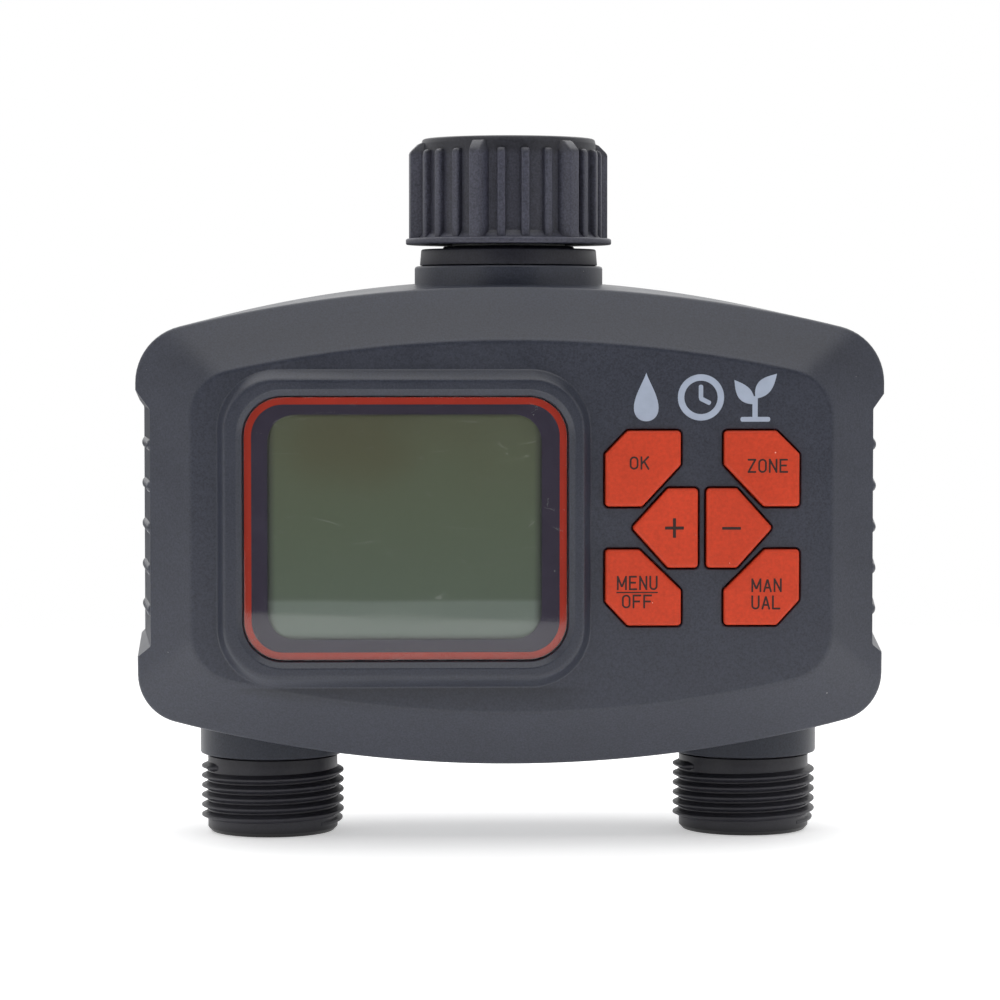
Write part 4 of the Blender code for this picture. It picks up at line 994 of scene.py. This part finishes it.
# plain condensed capitals from strokes, each in a box one unit wide and one high
def glyph(ch, x, z, w, h, s):
    m = s / 2

    def b(x0, z0, x1, z1, k=1.0):
        return bar(x + x0 * w, z + z0 * h, x + x1 * w, z + z1 * h, s * k)

    def side(u):
        return m / w if u == 0 else 1 - m / w

    L, R, B, T = side(0), side(1), m / h, 1 - m / h
    r = w / 2 - m
    if ch == "O":
        return [arc_stroke(x + w / 2, z + h - w / 2, r, 0, 180, s), arc_stroke(x + w / 2, z + w / 2, r, 180, 360, s),
                bar(x + m, z + w / 2, x + m, z + h - w / 2, s, 0.0), bar(x + w - m, z + w / 2, x + w - m, z + h - w / 2, s, 0.0)]
    if ch == "U":
        return [arc_stroke(x + w / 2, z + w / 2, r, 180, 360, s), bar(x + m, z + w / 2, x + m, z + h, s, 0.0), bar(x + w - m, z + w / 2, x + w - m, z + h, s, 0.0)]
    table = {
        "K": [(L, 0, L, 1), (L, 0.42, 0.93, 1), (0.42, 0.60, 0.95, 0)],
        "Z": [(0, T, 1, T), (0, B, 1, B), (0.10, B, 0.90, T)],
        "N": [(L, 0, L, 1), (R, 0, R, 1), (L, 1 - B, R, B)],
        "E": [(L, 0, L, 1), (L, T, 0.96, T), (L, 0.52, 0.86, 0.52), (L, B, 1, B)],
        "F": [(L, 0, L, 1), (L, T, 1, T), (L, 0.50, 0.86, 0.50)],
        "L": [(L, 0, L, 1), (L, B, 1, B)],
        "M": [(L, 0, L, 1), (R, 0, R, 1), (L, 1 - B, 0.5, 0.22), (0.5, 0.22, R, 1 - B)],
        "A": [(0.06, 0, 0.5, 1 - B), (0.5, 1 - B, 0.94, 0), (0.22, 0.32, 0.78, 0.32)],
    }
    return [b(*row) for row in table[ch]]


def word(text, x0, z0, x1, z1, s, gap=0.36):
    """The word's strokes, filling the box."""
    wide = {"M": 1.22}
    units = sum(wide.get(c, 1.0) for c in text)
    w = (x1 - x0 - gap * (len(text) - 1)) / units
    out, x = [], x0
    for c in text:
        k = w * wide.get(c, 1.0)
        out += glyph(c, x, z0, k, z1 - z0, s)
        x += k + gap
    return out


def legend(name, strokes, body, y=KEY_FRONT_Y, mat=None):
    """Strokes as separate thin solids, each a hair thicker than the last so that none share a face."""
    bm = bmesh.new()
    for i, pts in enumerate(strokes):
        d = 0.02 + 0.0006 * i
        a = [bm.verts.new((x * MM, (y - d) * MM, z * MM)) for x, z in pts]
        c = [bm.verts.new((x * MM, (y + 0.03) * MM, z * MM)) for x, z in pts]
        skin(bm, [a, c])
        bm.faces.new(a)
        bm.faces.new(c)
    obj = to_object(name, bm, mat or KEY_INK)
    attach(obj, body)
    return obj


legend("print_plus", [bar(26.91, 57.9, 30.27, 57.9, 0.55), bar(28.59, 56.16, 28.59, 59.65, 0.55)], "key_plus")
legend("print_minus", [bar(37.09, 57.83, 40.43, 57.83, 0.5)], "key_minus")
legend("print_ok", word("OK", 20.6, 68.3, 24.1, 70.65, 0.33), "key_ok")
legend("print_zone", word("ZONE", 41.6, 67.7, 48.8, 70.2, 0.33), "key_zone")
legend("print_menu", word("MENU", 18.35, 46.85, 25.6, 49.4, 0.33) + [bar(18.27, 46.43, 25.65, 46.43, 0.22, 0.02)] + word("OFF", 19.25, 43.6, 24.6, 46.05, 0.33), "key_menu")
legend("print_manual", word("MAN", 42.33, 46.45, 47.75, 48.9, 0.33) + word("UAL", 42.33, 43.35, 47.5, 45.85, 0.33), "key_manual")


# ---- plain mark above the keys: drop, clock and sprout ----------------------------------
def drop_shape(x, z, w, h, n=40):
    out = []
    for k in range(n):
        a = 2 * math.pi * k / n
        s = math.sin(a / 2)
        out.append((x + w / 2 * math.sin(a) * s ** 1.6 * 1.03, z + h / 2 * math.cos(a) + 0.0))
    return out


def leaf(x0, z0, x1, z1, fat, n=16):
    a, b = Vector((x0, z0)), Vector((x1, z1))
    d = b - a
    nrm = Vector((-d.y, d.x)).normalized()
    up = [a + d * (k / n) + nrm * fat * math.sin(math.pi * (k / n) ** 0.85) for k in range(n + 1)]
    down = [a + d * (k / n) - nrm * fat * 0.75 * math.sin(math.pi * (k / n) ** 0.85) for k in range(n - 1, 0, -1)]
    return [tuple(p) for p in up + down]


mark = [drop_shape(23.6, 81.2, 6.2, 8.7)]
mark += ring_strokes(33.35, 81.1, 3.55, 1.15)
mark += [bar(33.35, 80.75, 33.35, 83.35, 0.8, 0.3), bar(33.1, 81.0, 35.1, 80.0, 0.8, 0.3)]
mark += [leaf(42.9, 79.9, 39.3, 84.2, 1.45), leaf(43.1, 80.9, 46.9, 85.3, 1.5), bar(43.0, 76.85, 43.0, 81.3, 0.95, 0.3), bar(40.4, 77.2, 45.7, 77.2, 0.85, 0.3)]
legend("printed_mark", mark, "root", y=FRONT_Y, mat=MARK_INK)

# ---- inlet nut --------------------------------------------------------------------------
profile = soft([(14.2, NUT_Z1), (15.95, NUT_Z1), (16.15, NUT_Z1 - 0.9), (NUT_ROOT_R, 111.1), (NUT_ROOT_R + 0.95, 110.05), (NUT_FLANGE_R, 109.9), (NUT_FLANGE_R, NUT_Z0), (11.0, NUT_Z0),
                (11.0, 111.6), (13.3, 111.7), (13.3, NUT_Z1 - 0.75)], [0.25, 0.5, 0.6, 0.9, 0.5, 0.35, 0.3, 0.15, 0.2, 0.2, 0.3], 4)
nut = lathe("swivel_nut", profile, segs=192)
bm = bmesh.new()
for k in range(24):
    wide = k % 4 == 0
    ang = math.radians(-90 + NUT_PHASE + 15 * k)
    radial = Vector((math.cos(ang), math.sin(ang), 0))
    side = Vector((-math.sin(ang), math.cos(ang), 0))
    if wide:
        section = soft([(15.3, 2.05), (16.3, 1.82), (NUT_WIDE_R, 0.98), (NUT_WIDE_R, -0.98), (16.3, -1.82), (15.3, -2.05)], [0, 0.5, 0.32, 0.32, 0.5, 0], 4, sharp=(0, 5))
        levels = [(109.5, 0.0), (125.35, 0.0), (125.72, 0.12), (126.1, 0.42), (127.25, 1.62), (127.6, 2.4)]
    else:
        section = soft([(15.5, 0.84), (17.27, 0.74), (17.27, -0.74), (15.5, -0.84)], [0, 0.42, 0.42, 0], 5, sharp=(0, 3))
        levels = [(109.5, 0.0), (125.0, 0.0), (125.5, 0.07), (125.85, 0.22), (126.08, 0.48), (126.16, 0.85)]
    loops = []
    for z, cut in levels:
        tight = 1.0 if wide else 1.0 - 0.55 * (cut / 0.85) ** 2
        loops.append([bm.verts.new((radial * max(r - cut * (1 if r > 15.6 else 0), 15.3) + side * s * tight) * MM + Vector((0, 0, z * MM))) for r, s in section])
    skin(bm, loops)
    bm.faces.new(loops[0])
    bm.faces.new(loops[-1])
ribs = to_object("ribs", bm)


def helix(name, z0, turns, root, crest, start=0.0, at=(0, 0), inward=False, per_turn=96, depth=0.35, top_fade=0.16):
    """A right-hand thread ridge with rounded crest and blended ends."""
    bm = bmesh.new()
    n = int(turns * per_turn)
    rings = []
    way = -1 if inward else 1
    for i in range(n + 1):
        ang = math.radians(start) + 2 * math.pi * i / per_turn
        z = z0 + PITCH * i / per_turn
        fade = min(1.0, 0.05 + i / (per_turn * 0.16), 0.05 + (n - i) / (per_turn * top_fade))
        tip = root + (crest - root) * fade
        base = 0.80 * (0.5 + 0.5 * fade)
        h = abs(tip - root)
        pts = [(root - way * depth, z - base - 0.12), (root + way * 0.02, z - base), (root + way * 0.45 * h, z - 0.52 * base - 0.03), (tip - way * 0.16 * h, z - 0.27), (tip - way * 0.03 * h, z - 0.17), (tip, z - 0.07),
               (tip, z + 0.07), (tip - way * 0.03 * h, z + 0.17), (tip - way * 0.16 * h, z + 0.27), (root + way * 0.45 * h, z + 0.52 * base + 0.03), (root + way * 0.02, z + base), (root - way * depth, z + base + 0.12)]
        rings.append([bm.verts.new(((at[0] + r * math.cos(ang)) * MM, (at[1] + r * math.sin(ang)) * MM, h2 * MM)) for r, h2 in pts])
    skin(bm, rings)
    bm.faces.new(rings[0])
    bm.faces.new(rings[-1])
    return to_object(name, bm)


inner = helix("inner_thread", 119.2, 4.3, 13.3, 12.3, inward=True)
nut = joined([nut, ribs, inner])
nut.data.materials.clear()
nut.data.materials.append(NYLON_NUT)
nut.data.shade_smooth()
nut.data.set_sharp_from_angle(angle=math.radians(34))
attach(nut, "nut")
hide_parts("inlet_nut")

collar = lathe("collar_ring", soft([(10.9, 108.5), (12.0, 108.5), (12.3, 107.95), (16.2, 107.95), (16.45, 104.95), (10.9, 104.95)], [0.2, 0.3, 0.25, 0.4, 0.15, 0.1], 4), segs=160, mat=NYLON_COLLAR)
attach(collar, "root")
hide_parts("neck_collar")
washer = lathe("seal_washer", soft([(8.0, 117.6), (11.9, 117.6), (11.9, 115.2), (8.0, 115.2)], 0.3, 4), segs=120, mat=RUBBER)
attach(washer, "root")
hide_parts("inlet_washer")

# ---- threaded outlets -------------------------------------------------------------------
for side, x in (("left", -OUTLET_X), ("right", OUTLET_X)):
    body = lathe("hose_thread_" + side, soft([(9.85, 38.0), (11.9, 38.0), (11.9, 26.8), (13.8, 26.8), (13.8, 25.0), (ROOT - 0.6, 25.0), (ROOT - 0.6, 14.12), (ROOT, 14.12), (ROOT, 0.75), (11.35, 0.0), (BORE, 0.0), (BORE, 24.5), (9.85, 25.2)],
                 [0.2, 0.3, 0.1, 0.2, 0.2, 0.3, 0.1, 0.1, 0.25, 0.2, 0.4, 0.2, 0.2], 4), at=(x, 0), segs=144)
    ridge = helix("ridge", 1.88, 5.71, ROOT, CREST, start=-40, at=(x, 0), top_fade=0.02)
    body = joined([body, ridge])
    body.data.materials.clear()
    body.data.materials.append(NYLON_THREAD)
    body.data.shade_smooth()
    body.data.set_sharp_from_angle(angle=math.radians(34))
    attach(body, "root")
    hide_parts("outlet_nipple_" + side)

# ---- battery door, its screw and the cells ----------------------------------------------
door = lofted("door_cover", [(door_rect(g, 4.0 + g), y) for g, y in ((0, 30.4), (0, 31.45), (-0.06, 31.68), (-0.2, 31.84), (-0.42, 31.9), (-0.9, 31.9))])
lip = block("lip", (-27.4, 28.4, 56.1), (27.4, 30.8, 85.4))
combine(lip, block("lip_inside", (-25.6, 27, 57.9), (25.6, 30.6, 83.6)))
combine(door, lip, "UNION")
for z in (83.4, 81.4, 79.4):
    combine(door, lofted("grip_bar", [(soft([(-9 + g, z - 0.5 + g * 0.6), (9 - g, z - 0.5 + g * 0.6), (9 - g, z + 0.5 - g * 0.6), (-9 + g, z + 0.5 - g * 0.6)], 0.3, 4), y) for g, y in ((0, 31.6), (0, 32.0), (0.15, 32.22), (0.4, 32.3))]), "UNION")
combine(door, lathe("seat", [(0, 36), (5.45, 36), (5.45, 31.95), (5.25, 31.8), (5.2, 31.6), (5.2, 31.0), (0, 31.0)], axis="Y", base=(0, 0, DOOR_SCREW_Z), segs=96))
combine(door, lathe("hole", [(0, 36), (2.3, 36), (2.3, 20), (0, 20)], axis="Y", base=(0, 0, DOOR_SCREW_Z), segs=48))
dressed(door, SHELL_REAR, bevel=0.1)
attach(door, "door")
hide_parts("battery_door")
screw = lathe("door_screw_slotted", soft([(0, 11.0), (4.2, 11.0), (4.7, 10.6), (4.7, 10.0), (2.0, 10.0), (2.0, 0.4), (1.6, 0.0), (0, 0.0)], [0, 0.4, 0.2, 0.1, 0.15, 0.1, 0.1, 0], 3, closed=False),
              axis="Y", base=(0, 21.3, DOOR_SCREW_Z), segs=72)
combine(screw, block("slot", (-6, 31.7, DOOR_SCREW_Z - 0.6), (6, 34, DOOR_SCREW_Z + 0.6)))
dressed(screw, NICKEL, bevel=0.08)
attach(screw, "door_screw")
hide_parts("battery_door_screw")

for k, (x, z, r) in enumerate(SCREWS):
    s = lathe("case_screw_%d" % (k + 1), soft([(0, 2.0), (1.4, 1.95), (2.25, 1.5), (2.6, 0.9), (2.6, 0.0), (1.4, 0.0), (1.4, -25.4), (0.9, -26.0), (0, -26.0)], [0, 0.4, 0.4, 0.3, 0.15, 0.1, 0.1, 0.1, 0], 3, closed=False),
              axis="Y", base=(x, 14.3, z), segs=48)
    cross = joined([block("c1", (x - 1.35, 15.2, z - 0.28), (x + 1.35, 18, z + 0.28)), block("c2", (x - 0.28, 15.1, z - 1.35), (x + 0.28, 18, z + 1.35))])
    combine(s, cross)
    dressed(s, STEEL, bevel=0.04)
    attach(s, "root")
    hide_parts("housing_screw_%d" % (k + 1))

CELL_Y, CELL_R, HALF = 20.7, 7.1, 25.2
for name, z, way in (("battery_upper", 78.4, 1), ("battery_lower", 63.2, -1)):
    prof = soft([(0, HALF), (2.6, HALF), (2.75, HALF - 1.0), (CELL_R - 0.75, HALF - 1.1), (CELL_R, HALF - 1.5), (CELL_R, -HALF + 0.5), (CELL_R - 0.5, -HALF), (0, -HALF)],
                [0, 0.4, 0.15, 0.2, 0.35, 0.35, 0.3, 0], 4, closed=False)
    cell = lathe("cell_" + name[8:], [(r, h * way) for r, h in prof], axis="X", base=(0, CELL_Y, z), segs=72, mat=CELL)
    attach(cell, "root")
    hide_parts(name)

# plunger springs
for side, x in (("left", -OUTLET_X), ("right", OUTLET_X)):
    bm = bmesh.new()
    loops = []
    turns, per = 4.5, 28
    for i in range(int(turns * per) + 1):
        u = i / (turns * per)
        a = 2 * math.pi * i / per
        z = 81.15 + 5.85 * u
        centre = Vector((x + 2.6 * math.cos(a), 2.6 * math.sin(a), z))
        out = Vector((math.cos(a), math.sin(a), 0))
        loops.append([bm.verts.new((centre + out * 0.33 * math.cos(t) + Vector((0, 0, 0.33 * math.sin(t)))) * MM) for t in (2 * math.pi * q / 10 for q in range(10))])
    skin(bm, loops)
    bm.faces.new(loops[0])
    bm.faces.new(loops[-1])
    spring = to_object("coil_spring_" + side, bm, STEEL)
    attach(spring, "root")
    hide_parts("plunger_spring_" + side)
    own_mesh(spring)

# ---- materials of the carried-over solids -----------------------------------------------
FINISH = {"white_acetal": WHITE, "board_green": BOARD, "black_rubber": RUBBER, "grey_silicone": SILICONE, "copper_winding": COPPER, "zinc_steel": STEEL,
          "cell_sleeve": CELL, "nickel_plate": NICKEL, "foam_tape": FOAM, "wire_sleeve": WIRE, "strainer_mesh": MESH, "black_nylon": NYLON, "charcoal_shell": SHELL,
          "orange_silicone": ORANGE, "clear_lens": LENS, "printed_mask": MASK, "lcd_glass": LCD}
for name, obj in NODES.items():
    for s in obj.material_slots:
        key = (s.material.name if s.material else "").split(".")[0]
        if key in FINISH:
            s.material = FINISH[key]

# ---- floor, camera and light ------------------------------------------------------------
floor = bpy.data.meshes.new("floor")
bm = bmesh.new()
bmesh.ops.create_circle(bm, cap_ends=True, segments=96, radius=0.80)
bm.to_mesh(floor)
bm.free()
ground = bpy.data.objects.new("floor", floor)
scene.collection.objects.link(ground)
ground.location = (0, 0, -0.00015)
g = Nodes("floor_paper")
gx, gy = g.axis(0), g.axis(1)
front_cut = g.span(g.math("SUBTRACT", g.math("MULTIPLY", gx, 0.347), g.math("MULTIPLY", gy, 0.938)), 0.497, 0.507, 1.0, 0.0, True)
side_cut = g.span(g.math("ABSOLUTE", gx), 0.45, 0.78, 1.0, 0.0, True)
back_cut = g.span(gy, 0.14, 0.46, 1.0, 0.0, True)
fade = g.math("MULTIPLY", front_cut, g.math("MULTIPLY", side_cut, back_cut))
g.set("Base Color", g.mix(g.noise(3.0, 2.0), (0.90, 0.90, 0.90), (0.92, 0.92, 0.92)))
g.set("Roughness", 0.9)
g.set("Specular IOR Level", 0.1)
g.set("Emission Color", (1.0, 1.0, 1.0))
g.set("Emission Strength", 0.45)
clear = g.new("ShaderNodeBsdfTransparent")
blend = g.new("ShaderNodeMixShader")
g.link(fade, blend.inputs[0])
g.link(clear.outputs[0], blend.inputs[1])
g.link(g.b.outputs[0], blend.inputs[2])
g.link(blend.outputs[0], g.t.nodes["Material Output"].inputs["Surface"])
floor.materials.append(g.mat)

cam = bpy.data.cameras.new("camera")
eye = bpy.data.objects.new("camera", cam)
scene.collection.objects.link(eye)
elev, azim, dist, target = math.radians(2.6), math.radians(-1.7), 0.665, Vector((0, 0, 0.064))
back = Vector((math.sin(azim) * math.cos(elev), -math.cos(azim) * math.cos(elev), math.sin(elev)))
eye.location = target + back * dist
eye.rotation_euler = (-back).to_track_quat("-Z", "Y").to_euler()
cam.sensor_width = 36.0
cam.lens = 5.37 * 665.0 / 1000.0 * 36.0
cam.shift_x = -0.0085
cam.shift_y = -0.014
cam.clip_start = 0.01
scene.camera = eye

world = bpy.data.worlds.new("studio")
scene.world = world
world.use_nodes = True
wt = world.node_tree
bg = wt.nodes["Background"]
wc = wt.nodes.new("ShaderNodeTexCoord")
wx = wt.nodes.new("ShaderNodeSeparateXYZ")
wt.links.new(wc.outputs["Generated"], wx.inputs[0])


def world_span(source, a, b, lo, hi):
    n = wt.nodes.new("ShaderNodeMapRange")
    n.interpolation_type = "SMOOTHSTEP"
    for k, v in zip(("From Min", "From Max", "To Min", "To Max"), (a, b, lo, hi)):
        n.inputs[k].default_value = v
    wt.links.new(source, n.inputs["Value"])
    return n.outputs["Result"]


def world_math(op, a, b):
    n = wt.nodes.new("ShaderNodeMath")
    n.operation = op
    for k, v in enumerate((a, b)):
        if isinstance(v, (int, float)):
            n.inputs[k].default_value = v
        else:
            wt.links.new(v, n.inputs[k])
    return n.outputs[0]


# a pale backdrop above the horizon behind, dim in front and at floor level
behind = world_math("MULTIPLY", world_span(wx.outputs["Y"], -0.28, 0.46, 0.0, 1.0), world_span(wx.outputs["Z"], -0.01, 0.07, 0.0, 1.0))
wr_out = world_math("ADD", world_math("MULTIPLY", behind, 0.95), 0.085)
lp = wt.nodes.new("ShaderNodeLightPath")
wm = wt.nodes.new("ShaderNodeMix")
wt.links.new(lp.outputs["Is Camera Ray"], wm.inputs[0])
wt.links.new(wr_out, wm.inputs[2])
wm.inputs[3].default_value = 1.0
wt.links.new(wm.outputs[0], bg.inputs["Strength"])
bg.inputs["Color"].default_value = (1, 1, 1, 1)


def lamp(name, where, aim, wide, high, watts):
    data = bpy.data.lights.new(name, "AREA")
    data.shape = "RECTANGLE"
    data.size, data.size_y, data.energy = wide, high, watts
    obj = bpy.data.objects.new(name, data)
    scene.collection.objects.link(obj)
    obj.location = where
    obj.rotation_euler = (Vector(aim) - Vector(where)).to_track_quat("-Z", "Y").to_euler()
    return obj


lamp("top_box", (0, 0.30, 0.95), (0, 0, 0.08), 1.5, 1.3, 7.4)
lamp("top_front_box", (0, -0.52, 0.95), (0, 0, 0.07), 1.3, 0.6, 3.9)
lamp("left_box", (-1.10, -0.60, 0.50), (0, 0, 0.06), 1.5, 1.0, 3.7)
lamp("right_box", (1.10, -0.60, 0.50), (0, 0, 0.06), 1.5, 1.0, 3.2)
